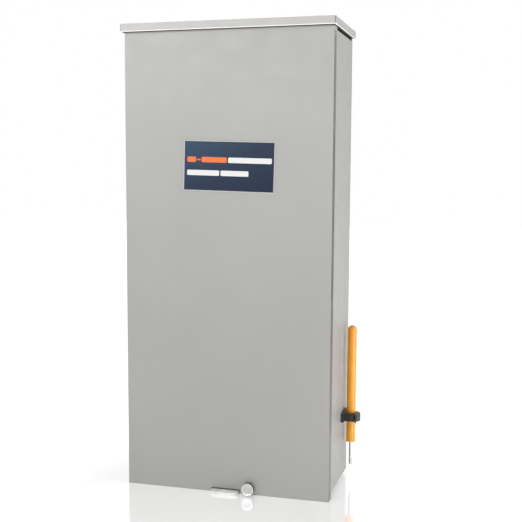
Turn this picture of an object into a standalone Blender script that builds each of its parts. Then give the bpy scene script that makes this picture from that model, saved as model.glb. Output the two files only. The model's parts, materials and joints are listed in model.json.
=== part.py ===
"""Outdoor transfer switch with a sixteen-pole load centre, in a rain-tight steel enclosure.

Run with: blender --background --python part.py

Row frame: origin at the centre of the back (wall) face, +X to the right seen from the front,
-Y towards the front, +Z up. Shapes below are written in millimetres, with heights counted from
the cover's bottom edge, and placed in metres.
"""

import math

import bmesh
import bpy
from mathutils import Matrix, Vector

MM = 0.001
ROUND = 24
SMALL_ROUND = 16
GAP = 0.3  # air between pieces that touch on the real object
SHEET = 1.5  # steel sheet of the enclosure

# Enclosure outside
CAP_TOP = 764.5
MID_HEIGHT = CAP_TOP / 2
CAP_HALF_WIDTH = 176.7
CAP_FRONT = -175.0
CAP_LIP = 12.9
COVER_HALF_WIDTH = 173.0
COVER_HEIGHT = 752.0
COVER_FRONT = -166.0
COVER_BACK = -148.0
TUB_HALF_WIDTH = COVER_HALF_WIDTH - SHEET - 0.5
TUB_FRONT = -163.0
TUB_BOTTOM = 6.0
TUB_TOP = CAP_TOP - SHEET - GAP
TUB_LIP = 12.0
VENT_Z = (747.3, 750.3)  # slot along each side, in the rain cap's shelter
WALL_SCREW_X = (-155, 155)
WALL_SCREW_HEIGHT = (60, 710)
WALL_SCREW_HOLE = 3.6  # radius

# The cover swings up about two pins that sit behind the rain cap's lip
SWING_Y = -155.0
SWING_HEIGHT = 740.0
SWEEP_RADIUS = math.hypot(COVER_FRONT - SWING_Y, COVER_HEIGHT - SWING_HEIGHT)
PIN_RADIUS = 2.5

LABEL_TILT = math.radians(1.5)

# Latch at the bottom edge
KNOB_X = 40.5
KNOB_HEIGHT = 12.2
KNOB_RADIUS = 9.75
SCREW_RADIUS = 3.0
TAB_X = (-23.5, 22.5)
TAB_Z = (2.6, 4.6)
TAB_FRONT = -181.0
PADLOCK_Y = -174.0
PADLOCK_RADIUS = 4.2

# Inside plates
PANEL_FRONT = -14.0
ON_PANEL = PANEL_FRONT - GAP
DEAD_FRONT = -105.5

# Load centre: two columns of four two-pole breakers
POLE_PITCH = 25.4
BREAKER_PITCH = 2 * POLE_PITCH
ROWS = 4
BREAKERS_BOTTOM = 130.0
BREAKERS_TOP = BREAKERS_BOTTOM + ROWS * BREAKER_PITCH
CASE_X = (5.0, 80.0)
CASE_Y = (-98.0, -52.0)
NOSE_X = (28.0, 60.0)
NOSE_FRONT = -111.0
POCKET_HALF = 11.0
TOGGLE_X = 44.0
TOGGLE_Y = -106.0
TOGGLE_REACH = 17.5
TOGGLE_LEAN = math.radians(25)
STAB_X = (11.0, 21.0)

# Transfer switch: a shaft carries both contact arms, the handle socket and the crank
SHAFT_Y = -66.0
SHAFT_HEIGHT = 560.0
SHAFT_RADIUS = 6.0
HUB_BORE = SHAFT_RADIUS + GAP
ARM_X = 36.0
ARM_TILT = math.radians(20)
ARM_REACH = 42.0
ARM_THICK = 6.0
PAD_THICK = 4.0
PAD_GAP = 0.4
CRANK_REACH = 20.0
BASE_Z = (455.0, 665.0)
BASE_FRONT = -44.0
ON_BASE = BASE_FRONT - GAP
SOCKET_X = -88.0
SOCKET_RADIUS = 3.4

# Push-pull solenoid to the right of the shaft
COIL_X = 105.0
COIL_Y = SHAFT_Y - CRANK_REACH
COIL_RADIUS = 16.0
PLUNGER_RADIUS = 5.0
CRANK_PIN_RADIUS = 2.5

# Relay controls, under and over the solenoid
TERMINALS = 4
TERMINAL_PITCH = 10.0
FUSES = 3
FUSE_PITCH = 13.0
LEAD_RADIUS = 1.4
LEAD_STEPS = 4  # pieces of the wire's line between two of its points
LEAD_UPPER = [
    (121.6, -86, 606),
    (126, -85, 604),
    (131, -74, 588),
    (132, -50, 560),
    (131, -40, 520),
    (125, -34, 490),
    (117, -28, 473),
]
LEAD_LOWER = [
    (121.6, -86, 514),
    (125, -84, 511),
    (127, -72, 500),
    (121, -50, 488),
    (111, -34, 482),
    (107, -28, 473),
]

# Operating handle, stowed upright in a clip on the outside of the right wall
WALL_X = TUB_HALF_WIDTH + GAP
HANDLE_X = WALL_X + 13.7
HANDLE_Y = -36.0
GRIP_RADIUS = 7.7
GRIP_Z = (66.0, 269.0)
ROD_RADIUS = 3.0
ROD_Z = (26.0, 245.0)

# Clip outlines are (along, out): along the base from its front end, and out from the wall
CLIP_Z = (104.0, 118.0)
CLIP_FRONT = HANDLE_Y - 23
CLIP_BASE = 4.7
CLIP_CENTRE = (HANDLE_Y - CLIP_FRONT, HANDLE_X - WALL_X)
CLIP_INNER = 8.1
CLIP_OUTER = 10.4
CLIP_RIBS = 8
JAW_PIVOT = (27.6, 6.2)
JAW_ROOT = 1.2


# ---------------------------------------------------------------- scene and materials


def clear_scene():
    for obj in list(bpy.data.objects):
        bpy.data.objects.remove(obj)


def new_collection(name):
    made = bpy.data.collections.new(name)
    bpy.context.scene.collection.children.link(made)
    return made


def principled(name, colour, roughness, metallic=0.0):
    material = bpy.data.materials.new(name)
    material.use_nodes = True
    shader = material.node_tree.nodes["Principled BSDF"]
    shader.inputs["Base Color"].default_value = (*colour, 1.0)
    shader.inputs["Roughness"].default_value = roughness
    shader.inputs["Metallic"].default_value = metallic
    return material


clear_scene()
PARTS = new_collection("transfer_switch")
CUTTERS = new_collection("cutters")
COVER_PAINT = principled("cover_paint", (0.46, 0.46, 0.44), 0.4)
CAP_PAINT = principled("cap_paint", (0.62, 0.61, 0.59), 0.4)
ZINC = principled("zinc_plate", (0.62, 0.62, 0.6), 0.35, 0.9)
KNOB_METAL = principled("knob_metal", (0.75, 0.75, 0.75), 0.25, 1.0)
LABEL = principled("label_film", (0.06, 0.08, 0.13), 0.35)
MOULDING = principled("black_moulding", (0.03, 0.03, 0.035), 0.5)
INSULATOR = principled("grey_insulator", (0.16, 0.16, 0.17), 0.55)
TIN = principled("tinned_bus", (0.7, 0.7, 0.68), 0.3, 1.0)
COPPER = principled("copper", (0.72, 0.38, 0.22), 0.3, 1.0)
ALUMINIUM = principled("lug_aluminium", (0.72, 0.72, 0.73), 0.35, 1.0)
COIL_TAPE = principled("coil_tape", (0.55, 0.4, 0.08), 0.5)
STEEL = principled("plain_steel", (0.5, 0.5, 0.5), 0.35, 1.0)
RELAY_CASE = principled("relay_case", (0.6, 0.62, 0.62), 0.2)
GRIP_VINYL = principled("grip_vinyl", (0.9, 0.42, 0.03), 0.35)
WIRE = principled("wire_jacket", (0.35, 0.02, 0.02), 0.45)


# ---------------------------------------------------------------- shape helpers


def row(x, y, height):
    """A point in the row frame, in metres, from millimetres and a height above the cover's bottom edge."""
    return Vector((x * MM, y * MM, (height - MID_HEIGHT) * MM))


def pivot(name, x, y, height):
    """An empty on a joint's axis, which carries the pieces that turn or slide together."""
    empty = bpy.data.objects.new(name, None)
    empty.location = row(x, y, height)
    PARTS.objects.link(empty)
    return empty


def put(name, mesh, at, material=None, parent=None):
    """An object for this mesh at a row-frame place. Without a material it's a cutter or helper."""
    obj = bpy.data.objects.new(name, mesh)
    obj.location = at - parent.location if parent else at
    obj.parent = parent
    if material is None:
        obj.hide_render = True
        obj.display_type = "WIRE"
        CUTTERS.objects.link(obj)
    else:
        mesh.materials.append(material)
        PARTS.objects.link(obj)
    return obj


def cube_bmesh(size):
    bm = bmesh.new()
    bmesh.ops.create_cube(bm, size=1)
    bmesh.ops.scale(bm, vec=[s * MM for s in size], verts=bm.verts)
    return bm


def mesh_from(bm, name):
    mesh = bpy.data.meshes.new(name)
    bm.to_mesh(mesh)
    bm.free()
    return mesh


def sized(x, y, z):
    """(size, row-frame centre) of the box between these limits."""
    size = [high - low for low, high in (x, y, z)]
    return size, row(sum(x) / 2, sum(y) / 2, sum(z) / 2)


def block(name, x, y, z, material=None, parent=None, bevel=0.0):
    size, centre = sized(x, y, z)
    obj = put(name, mesh_from(cube_bmesh(size), name), centre, material, parent)
    if bevel:
        rounded = obj.modifiers.new("edges", "BEVEL")
        rounded.width = bevel * MM
        rounded.segments = 1
    return obj


def tray(name, x, y, z, open_side, material, parent=None, lip=0.0, also_open=()):
    """Sheet steel folded into a box that is open on one side, with an optional lip around that side."""
    size, centre = sized(x, y, z)
    bm = cube_bmesh(size)
    for side in (open_side, *also_open):
        face = max(bm.faces, key=lambda f, s=side: f.normal.dot(Vector(s)))
        if lip and side == open_side:
            bmesh.ops.inset_region(bm, faces=[face], thickness=lip * MM)
        bmesh.ops.delete(bm, geom=[face], context="FACES_ONLY")
    obj = put(name, mesh_from(bm, name), centre, material, parent)
    shell = obj.modifiers.new("sheet", "SOLIDIFY")
    shell.thickness = SHEET * MM
    shell.offset = -1
    shell.use_even_offset = True
    return obj


def rod(name, radius, start, end, material=None, parent=None, sides=ROUND, turn=0.0):
    """A round bar between two points given as (x, y, height)."""
    a, b = row(*start), row(*end)
    bm = bmesh.new()
    bmesh.ops.create_cone(
        bm, cap_ends=True, segments=sides, radius1=radius * MM, radius2=radius * MM, depth=(b - a).length
    )
    aim = (b - a).to_track_quat("Z", "Y").to_matrix().to_4x4()
    bmesh.ops.transform(bm, matrix=aim @ Matrix.Rotation(turn, 4, "Z"), verts=bm.verts)
    return put(name, mesh_from(bm, name), (a + b) / 2, material, parent)


def turned(name, profile, foot, material=None, parent=None, sides=ROUND):
    """A solid turned about the vertical through foot, from (radius, height) points listed downwards."""
    bm = bmesh.new()
    points = [bm.verts.new((radius * MM, 0, height * MM)) for radius, height in profile]
    for upper, lower in zip(points, points[1:]):
        bm.edges.new((upper, lower))
    obj = put(name, mesh_from(bm, name), row(*foot), material, parent)
    screw = obj.modifiers.new("turned", "SCREW")
    screw.steps = sides
    screw.render_steps = sides
    screw.use_merge_vertices = True
    screw.merge_threshold = 1e-5
    return obj


def leaning_block(name, width, reach, thick, tilt, x, start=0.0, lift=0.0):
    """A bar that leaves the shaft's axis towards the front, tilted up, from start to reach."""
    bm = cube_bmesh((width, reach - start, thick))
    shift = Matrix.Translation(Vector((0, -(start + reach) / 2, lift)) * MM)
    bmesh.ops.transform(bm, matrix=Matrix.Rotation(-tilt, 4, "X") @ shift, verts=bm.verts)
    return put(name, mesh_from(bm, name), row(x, SHAFT_Y, SHAFT_HEIGHT))


def combine(obj, other, operation):
    change = obj.modifiers.new(other.name, "BOOLEAN")
    change.operation = operation
    change.object = other
    return obj


def cut(obj, *cutters):
    for cutter in cutters:
        combine(obj, cutter, "DIFFERENCE")
    return obj


def weld(obj, *pieces):
    for piece in pieces:
        combine(obj, piece, "UNION")
    return obj


# ---------------------------------------------------------------- enclosure


def on_swing(x):
    """A point of the axis that the cover swings about."""
    return x, SWING_Y, SWING_HEIGHT


def on_screw(y):
    """A point of the latch screw's axis."""
    return KNOB_X, y, KNOB_HEIGHT


def enclosure_tub():
    tub = tray(
        "enclosure_tub",
        (-TUB_HALF_WIDTH, TUB_HALF_WIDTH),
        (TUB_FRONT, 0),
        (TUB_BOTTOM, TUB_TOP),
        (0, -1, 0),
        COVER_PAINT,
        lip=TUB_LIP,
    )
    wide = TUB_HALF_WIDTH + 10
    above = TUB_TOP + 10
    front = TUB_FRONT - 5
    swept_back = SWING_Y + SWEEP_RADIUS + 1.4
    pin_hole = rod("tub_pin_hole", PIN_RADIUS + GAP, on_swing(-wide), on_swing(wide), sides=SMALL_ROUND)
    latch_hole = rod("tub_latch_hole", 4, on_screw(front), on_screw(TUB_FRONT + 5), sides=SMALL_ROUND)
    vents = block("tub_side_vents", (-wide - 2, wide + 2), (swept_back + 8, -8), VENT_Z)
    lip_notch = block(
        "tub_lip_notch", (-wide - 1, wide + 1), (front - 1, SWING_Y - 1), (SWING_HEIGHT + 4.5, above + 1)
    )
    top_notch = block("tub_top_notch", (-wide, wide), (front, swept_back), (SWING_HEIGHT + 9, above))
    cut(tub, pin_hole, latch_hole, vents, lip_notch, top_notch)
    for x in WALL_SCREW_X:
        for height in WALL_SCREW_HEIGHT:
            name = f"wall_screw_hole_{x}_{height}"
            cut(tub, rod(name, WALL_SCREW_HOLE, (x, -6, height), (x, 6, height), sides=SMALL_ROUND))


def rain_cap():
    tray(
        "rain_cap",
        (-CAP_HALF_WIDTH, CAP_HALF_WIDTH),
        (CAP_FRONT, 0),
        (CAP_TOP - CAP_LIP, CAP_TOP),
        (0, 0, -1),
        CAP_PAINT,
        also_open=[(0, 1, 0)],
    )


def pivot_pins():
    for side, name in ((-1, "pivot_pin_left"), (1, "pivot_pin_right")):
        wall = side * (TUB_HALF_WIDTH - SHEET - GAP)
        head = rod(f"{name}_head", 4.5, on_swing(wall - side * 2), on_swing(wall), sides=SMALL_ROUND)
        end = side * COVER_HALF_WIDTH
        pin = rod(name, PIN_RADIUS, on_swing(wall - side), on_swing(end), STEEL, sides=SMALL_ROUND)
        weld(pin, head)


def hasp_bracket():
    tab = block("hasp_bracket", TAB_X, (TAB_FRONT, -120), TAB_Z, ZINC)
    middle = sum(TAB_X) / 2
    pad = block("hasp_pad", TAB_X, (-150, -121), (TAB_Z[1] - 0.4, TUB_BOTTOM - GAP))
    hole = rod("padlock_hole", PADLOCK_RADIUS, (middle, PADLOCK_Y, 0), (middle, PADLOCK_Y, 8))
    weld(tab, pad)
    cut(tab, hole)
    for x in TAB_X:
        corner = block(f"hasp_corner_{x}", (x - 4, x + 4), (TAB_FRONT - 4, TAB_FRONT + 4), (0, 8))
        corner.rotation_euler.z = math.radians(45)
        cut(tab, corner)


def latch_nut():
    front = TUB_FRONT + SHEET + GAP
    nut = rod("latch_nut", 4.9, on_screw(front), on_screw(-154), ZINC, sides=6, turn=math.radians(30))
    cut(nut, rod("nut_bore", SCREW_RADIUS + 0.35, on_screw(-165), on_screw(-150)))


def front_cover(swing):
    cover = tray(
        "front_cover",
        (-COVER_HALF_WIDTH, COVER_HALF_WIDTH),
        (COVER_FRONT, COVER_BACK),
        (0, COVER_HEIGHT),
        (0, 1, 0),
        COVER_PAINT,
        swing,
    )
    wide = COVER_HALF_WIDTH + 10
    pin_hole = rod("cover_pin_hole", PIN_RADIUS + 0.2, on_swing(-wide), on_swing(wide), sides=SMALL_ROUND)
    slot_x = (TAB_X[0] - 1.5, TAB_X[1] + 1.5)
    slot = block("hasp_slot", slot_x, (COVER_FRONT - 4, COVER_FRONT + 6), (1.9, TAB_Z[1] + 2.2))
    screw_hole = rod("screw_hole", 4, on_screw(COVER_FRONT - 4), on_screw(-160), sides=SMALL_ROUND)
    cut(cover, pin_hole, slot, screw_hole)
    # The top flange stops short at both ends, to pass between the tub's walls as the cover opens
    relief_y = (COVER_FRONT + SHEET, COVER_BACK + 4)
    for side in (-1, 1):
        x = sorted(side * value for value in (TUB_HALF_WIDTH - SHEET - 1.5, COVER_HALF_WIDTH - SHEET))
        cut(cover, block(f"flange_relief_{side}", x, relief_y, (COVER_HEIGHT - 3, COVER_HEIGHT + 3)))


def label_plate(swing):
    back = COVER_FRONT - GAP
    label = block("label_plate", (-70.6, 79.4), (back - 0.6, back), (497.2, 575.7), LABEL, swing)
    label.rotation_euler.y = LABEL_TILT


def latch_knob():
    turn = pivot("latch_knob_turn", *on_screw(COVER_FRONT))
    front = COVER_FRONT - 12.5
    knob = rod("latch_knob", KNOB_RADIUS, on_screw(front), on_screw(COVER_FRONT - 0.4), KNOB_METAL, turn)
    weld(knob, rod("latch_screw", SCREW_RADIUS, on_screw(front + 3), on_screw(-151), sides=SMALL_ROUND))


# ---------------------------------------------------------------- inside plates and load centre


def plates():
    tray("back_panel", (-140, 140), (PANEL_FRONT, -1.8), (30, 735), (0, 1, 0), ZINC)
    dead = tray("dead_front", (-135, 135), (DEAD_FRONT, -92), (50, 415), (0, 1, 0), COVER_PAINT)
    for side in (-1, 1):
        x = sorted((side * (NOSE_X[0] - 1), side * (NOSE_X[1] + 1)))
        cut(dead, block(f"breaker_window_{side}", x, (DEAD_FRONT - 5, -95), (BREAKERS_BOTTOM, BREAKERS_TOP)))


def dead_front_rails():
    front = DEAD_FRONT + SHEET + 0.4
    for name, web, flange in (
        ("dead_front_rail_upper", (403, 404.5), (390, 404)),
        ("dead_front_rail_lower", (60, 61.5), (60.5, 75)),
    ):
        rail = block(name, (-80, 80), (front, ON_PANEL), web, ZINC)
        weld(rail, block(f"{name}_flange", (-80, 80), (front, front + SHEET), flange))
        if name.endswith("upper"):
            cut(rail, block("bus_notch", (-32, 32), (-52, -10), (400, 408)))


def bus_work():
    base = block("bus_insulator", (-32, 32), (-30, ON_PANEL), (110, 398), INSULATOR)
    weld(base, block("insulator_rib", (-3, 3), (-46, -29), (112, 396)))
    for side, name in ((-1, "bus_bar_left"), (1, "bus_bar_right")):
        x = sorted((side * 8, side * 24))
        bar = block(name, x, (-33.3, -30.3), (120, 430), TIN)
        joggle = block(f"{name}_joggle", x, (ON_BASE - 3, -30.8), (427, 430.5))
        riser = block(f"{name}_riser", x, (ON_BASE - 3, ON_BASE), (427.5, 540))
        weld(bar, joggle, riser)
        for step in range(ROWS):
            middle = BREAKERS_BOTTOM + BREAKER_PITCH * step + POLE_PITCH * (0.5 if side < 0 else 1.5)
            x_stab = sorted(side * value for value in STAB_X)
            weld(bar, block(f"{name}_stab_{step}", x_stab, (-50, -33), (middle - 1, middle + 1)))


def earth_and_neutral():
    neutral = block("neutral_bar", (-125, -113), (-40, -28), (130, 330), ALUMINIUM)
    for step, height in enumerate((140, 310)):
        weld(neutral, block(f"neutral_foot_{step}", (-124, -114), (-30, ON_PANEL), (height, height + 10)))
    block("ground_bar", (113, 125), (-26, ON_PANEL), (130, 330), ALUMINIUM)


def breaker(number, side, bottom):
    """A two-pole breaker and its tied toggle. The toggle leans to the middle of the panel when on."""
    low, high = bottom + 0.4, bottom + BREAKER_PITCH - 0.4
    middle = (low + high) / 2

    def across(x):
        return sorted(side * value for value in x)

    name = f"breaker_{number}"
    case = block(f"{name}_case", across(CASE_X), CASE_Y, (low, high), MOULDING)
    nose = block(f"{name}_nose", across(NOSE_X), (NOSE_FRONT, CASE_Y[0] + 1), (low + 1.4, high - 1.4))
    pocket_x = across((TOGGLE_X - POCKET_HALF, TOGGLE_X + POCKET_HALF))
    pocket = block(f"{name}_pocket", pocket_x, (NOSE_FRONT - 2, -100), (middle - 19, middle + 19))
    weld(case, nose)
    cut(case, pocket)

    x = side * TOGGLE_X
    axis = pivot(f"{name}_toggle_axis", x, TOGGLE_Y, middle)
    bottom_end, top_end = (x, TOGGLE_Y, middle - 18), (x, TOGGLE_Y, middle + 18)
    toggle = rod(f"{name}_toggle", 5, bottom_end, top_end, MOULDING, axis, SMALL_ROUND)
    bm = cube_bmesh((5, TOGGLE_REACH, 34))
    bmesh.ops.translate(bm, vec=Vector((0, -TOGGLE_REACH / 2, 0)) * MM, verts=bm.verts)
    bmesh.ops.rotate(bm, matrix=Matrix.Rotation(-side * TOGGLE_LEAN, 3, "Z"), verts=bm.verts)
    weld(toggle, put(f"{name}_lever", mesh_from(bm, f"{name}_lever"), row(x, TOGGLE_Y, middle)))


def breakers():
    for column, side in enumerate((-1, 1)):
        for step in range(ROWS):
            breaker(column * ROWS + step + 1, side, BREAKERS_TOP - BREAKER_PITCH * (step + 1))


# ---------------------------------------------------------------- transfer switch


def across_shaft(name, radius, x, material=None, parent=None):
    """A round piece on the shaft's axis, between two places along it."""
    start, end = ((place, SHAFT_Y, SHAFT_HEIGHT) for place in x)
    return rod(name, radius, start, end, material, parent)


def transfer_base():
    base = block("transfer_base", (-75, 75), (BASE_FRONT, ON_PANEL), BASE_Z, MOULDING)
    for step, x in enumerate(((-75, -69), (-3, 3), (69, 75))):
        weld(base, block(f"base_cheek_{step}", x, (-86, BASE_FRONT + 1), (528, 592)))
    cut(base, across_shaft("base_bore", HUB_BORE, (-80, 80)))


def rotor(turn):
    shaft = across_shaft("rotor_shaft", SHAFT_RADIUS, (-94, 86), STEEL, turn)
    crank = leaning_block("crank_arm", 6, CRANK_REACH + 5, 10, ARM_TILT, 83)
    pin_y = SHAFT_Y - CRANK_REACH * math.cos(ARM_TILT)
    pin_height = SHAFT_HEIGHT + CRANK_REACH * math.sin(ARM_TILT)
    pin_start, pin_end = (82, pin_y, pin_height), (COIL_X + 7, pin_y, pin_height)
    weld(shaft, crank, rod("crank_pin", CRANK_PIN_RADIUS, pin_start, pin_end, sides=SMALL_ROUND))

    for side, name in ((-1, "contact_arm_left"), (1, "contact_arm_right")):
        x = side * ARM_X
        arm = across_shaft(name, 11, (x - 7, x + 7), COPPER, turn)
        blade = leaning_block(f"{name}_blade", 12, ARM_REACH, ARM_THICK, ARM_TILT, x)
        bore = across_shaft(f"{name}_bore", HUB_BORE, (x - 9, x + 9))
        weld(arm, blade)
        cut(arm, bore)

    hub = across_shaft("handle_socket", 14, (SOCKET_X - 8, SOCKET_X + 8), STEEL, turn)

    def forward(reach):
        return SOCKET_X, SHAFT_Y - reach, SHAFT_HEIGHT

    weld(hub, rod("socket_boss", 8, forward(8), forward(46)))
    shaft_bore = across_shaft("socket_shaft_bore", HUB_BORE, (SOCKET_X - 7, SOCKET_X + 10))
    cut(hub, shaft_bore, rod("socket_bore", SOCKET_RADIUS, forward(50), forward(18), sides=SMALL_ROUND))


def fixed_contact(name, x, up):
    """A copper strap from a lug's seat on the base to the pad that an arm closes on. Up is 1 or -1."""

    def heights(low, high):
        return sorted(SHAFT_HEIGHT + up * value for value in (low, high))

    width = (x - 7, x + 7)
    strap = block(name, width, (ON_BASE - 3, ON_BASE), heights(57, 95), COPPER)
    shelf = block(f"{name}_shelf", width, (-100, ON_BASE), heights(57, 60))
    drop = block(f"{name}_drop", width, (-100, -97), heights(20, 59))
    lift = up * (ARM_THICK / 2 + PAD_GAP + PAD_THICK / 2)
    pad = leaning_block(f"{name}_pad", 14, 40, PAD_THICK, up * ARM_TILT, x, start=28, lift=lift)
    weld(strap, shelf, drop, pad)


def lug(name, x, up):
    """An aluminium wire lug on a fixed contact, bored from top to bottom for the cable."""
    z = sorted(SHAFT_HEIGHT + up * value for value in (65, 93))
    y = (ON_BASE - 3 - GAP - 17, ON_BASE - 3 - GAP)
    body = block(name, (x - 9, x + 9), y, z, ALUMINIUM, bevel=0.8)
    middle = sum(y) / 2
    cut(body, rod(f"{name}_bore", 5.5, (x, middle, z[0] - 4), (x, middle, z[1] + 4), sides=SMALL_ROUND))


def contacts_and_lugs():
    for source, up in (("utility", 1), ("generator", -1)):
        for side, where in ((-1, "left"), (1, "right")):
            fixed_contact(f"{source}_contact_{where}", side * ARM_X, up)
            lug(f"{source}_lug_{where}", side * ARM_X, up)


def on_plunger(height):
    """A point of the plunger's axis."""
    return COIL_X, COIL_Y, height


def solenoid():
    frame = block("solenoid_frame", (87, 123), (-68, -65), (489, 631), ZINC)
    for step, low in enumerate((628, 580, 537, 489)):
        shelf = block(f"solenoid_shelf_{step}", (87, 123), (-104, -66), (low, low + 3))
        weld(frame, shelf)
    for step, low in enumerate((510, 600)):
        weld(frame, block(f"solenoid_leg_{step}", (99, 111), (-66, ON_PANEL), (low, low + 10)))
    cut(frame, rod("solenoid_bore", 6.5, on_plunger(470), on_plunger(650), sides=SMALL_ROUND))
    for name, z in (("solenoid_coil_upper", (583.4, 627.6)), ("solenoid_coil_lower", (492.4, 536.6))):
        coil = rod(name, COIL_RADIUS, on_plunger(z[0]), on_plunger(z[1]), COIL_TAPE)
        bore = rod(f"{name}_bore", 6, on_plunger(z[0] - 5), on_plunger(z[1] + 5), sides=SMALL_ROUND)
        cut(coil, bore)


def plunger():
    """The iron core that both coils pull, with a slotted block at its middle for the crank pin."""
    rest = SHAFT_HEIGHT + CRANK_REACH * math.sin(ARM_TILT)
    slide = pivot("plunger_slide", *on_plunger(rest))
    bottom, top = on_plunger(500), on_plunger(622)
    core = rod("solenoid_plunger", PLUNGER_RADIUS, bottom, top, STEEL, slide, SMALL_ROUND)
    fork = block("plunger_fork", (COIL_X - 6, COIL_X + 6), (COIL_Y - 9, COIL_Y + 9), (rest - 9, rest + 9))
    reach = CRANK_PIN_RADIUS + 0.35
    slot_y = (COIL_Y - 4.5, COIL_Y + 5)
    slot = block("fork_slot", (COIL_X - 12, COIL_X + 12), slot_y, (rest - reach, rest + reach))
    weld(core, fork)
    cut(core, slot)


def controls():
    terminal = block("terminal_block", (85, 125), (-34, ON_PANEL), (415, 472), MOULDING)
    for step in range(TERMINALS):
        x = 90 + TERMINAL_PITCH * step
        cut(terminal, block(f"terminal_bay_{step}", (x - 4, x + 4), (-40, -24), (422, 465)))
    fuses = block("fuse_block", (-128, -88), (-24, ON_PANEL), (436, 500), MOULDING)
    for step in range(FUSES):
        x = -121 + FUSE_PITCH * step
        weld(fuses, rod(f"fuse_{step}", 5, (x, -28, 440), (x, -28, 496), sides=SMALL_ROUND))
    block("transfer_relay", (88, 124), (-68, ON_PANEL), (652, 704), RELAY_CASE, bevel=1.0)


def lead(name, points):
    """A round wire along a smooth line through these points, given as (x, y, height)."""
    curve = bpy.data.curves.new(name, "CURVE")
    curve.dimensions = "3D"
    curve.bevel_depth = LEAD_RADIUS * MM
    curve.bevel_resolution = 1
    curve.use_fill_caps = True
    known = [row(*point) for point in points]
    ends = [known[0] * 2 - known[1], *known, known[-1] * 2 - known[-2]]
    path = [ends[1]]
    for a, b, c, d in zip(ends, ends[1:], ends[2:], ends[3:]):
        for step in range(1, LEAD_STEPS + 1):
            t = step / LEAD_STEPS
            square, cube = 2 * a - 5 * b + 4 * c - d, 3 * b - a - 3 * c + d
            path.append((2 * b + (c - a) * t + square * t**2 + cube * t**3) / 2)
    spline = curve.splines.new("POLY")
    spline.points.add(len(path) - 1)
    for point, place in zip(spline.points, path):
        point.co = (*place, 1)
    curve.materials.append(WIRE)
    PARTS.objects.link(bpy.data.objects.new(name, curve))


# ---------------------------------------------------------------- operating handle and its clip


def operating_handle():
    carry = pivot("handle_slide", HANDLE_X, HANDLE_Y, GRIP_Z[0])

    def upright(name, radius, z, material=None, parent=None):
        return rod(name, radius, (HANDLE_X, HANDLE_Y, z[0]), (HANDLE_X, HANDLE_Y, z[1]), material, parent)

    length = GRIP_Z[1] - GRIP_Z[0]
    quarter = [math.radians(90 * step / 5) for step in range(6)]
    dome = [(GRIP_RADIUS * math.sin(a), length - GRIP_RADIUS * (1 - math.cos(a))) for a in quarter]
    profile = [*dome, (GRIP_RADIUS, 1.5), (GRIP_RADIUS - 1.5, 0), (0, 0)]
    grip = turned("handle_grip", profile, (HANDLE_X, HANDLE_Y, GRIP_Z[0]), GRIP_VINYL, carry)
    cut(grip, upright("grip_bore", ROD_RADIUS + GAP, (GRIP_Z[0] - 5, ROD_Z[1] + GAP)))
    upright("handle_rod", ROD_RADIUS, ROD_Z, STEEL, carry)


def clip_solid(name, outline, parent=None):
    """An (along, out) outline of the clip, extruded over the clip's height."""
    curve = bpy.data.curves.new(name, "CURVE")
    curve.dimensions = "2D"
    curve.fill_mode = "BOTH"
    curve.extrude = (CLIP_Z[1] - CLIP_Z[0]) / 2 * MM
    spline = curve.splines.new("POLY")
    spline.points.add(len(outline) - 1)
    spline.use_cyclic_u = True
    origin = parent.location if parent else row(0, 0, sum(CLIP_Z) / 2)
    for point, (along, out) in zip(spline.points, outline):
        place = row(WALL_X + out, CLIP_FRONT + along, 0) - origin
        point.co = (place.x, place.y, 0, 1)
    curve.materials.append(MOULDING)
    obj = bpy.data.objects.new(name, curve)
    obj.parent = parent
    if not parent:
        obj.location = origin
    PARTS.objects.link(obj)


def clip_arc(radius, start, end, steps, centre=CLIP_CENTRE):
    """Points on a circle of the clip's outline, between two angles in degrees from along towards out."""
    angles = [math.radians(start + (end - start) * step / steps) for step in range(steps + 1)]
    return [(centre[0] + radius * math.cos(a), centre[1] + radius * math.sin(a)) for a in angles]


def handle_clip():
    """A stick-on base with a catch post and a pocket, and a ribbed jaw hinged on it that grips the handle."""
    post = [(19.0, CLIP_BASE + 0.8), (12.3, 12.4), (11.6, 13.0), (9.7, 13.0), (9.7, CLIP_BASE)]
    recess = [(34.6, 3.2), (29.0, 3.2), (28.6, CLIP_BASE), (19.8, CLIP_BASE)]
    foot = [(0, 0), (50, 0), (49.6, 7.4), (36.0, 7.4)]
    clip_solid("handle_clip_base", [*foot, *recess, *post, (0, CLIP_BASE)])

    open_axis = pivot("clip_jaw_axis", WALL_X + JAW_PIVOT[1], CLIP_FRONT + JAW_PIVOT[0], sum(CLIP_Z) / 2)
    root = clip_arc(JAW_ROOT, -160, -20, 3, JAW_PIVOT)
    band = clip_arc(CLIP_OUTER, -42, 35, 6)
    crown = [(31.0, 22.4), (27.0, 27.6), (21.0, 30.2), (17.0, 29.6), (13.6, 25.6)]
    thumb_tab = [(8.2, 24.4), (3.8, 26.0), (3.2, 24.0), (7.8, 22.0), (10.6, 21.6)]
    claw = [(8.6, 15.4), (8.6, 13.7), (12.0, 13.7), (12.4, 15.4), (13.0, 20.2), (14.6, 21.4)]
    grooves = clip_arc(CLIP_INNER + 0.9, 128, -48, CLIP_RIBS)
    ridges = clip_arc(CLIP_INNER, 117, -37, CLIP_RIBS - 1)
    ribs = [point for pair in zip(grooves, ridges) for point in pair]
    clip_solid("handle_clip_jaw", root + band + crown + thumb_tab + claw + ribs + grooves[-1:], open_axis)


# ---------------------------------------------------------------- assembly


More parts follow.
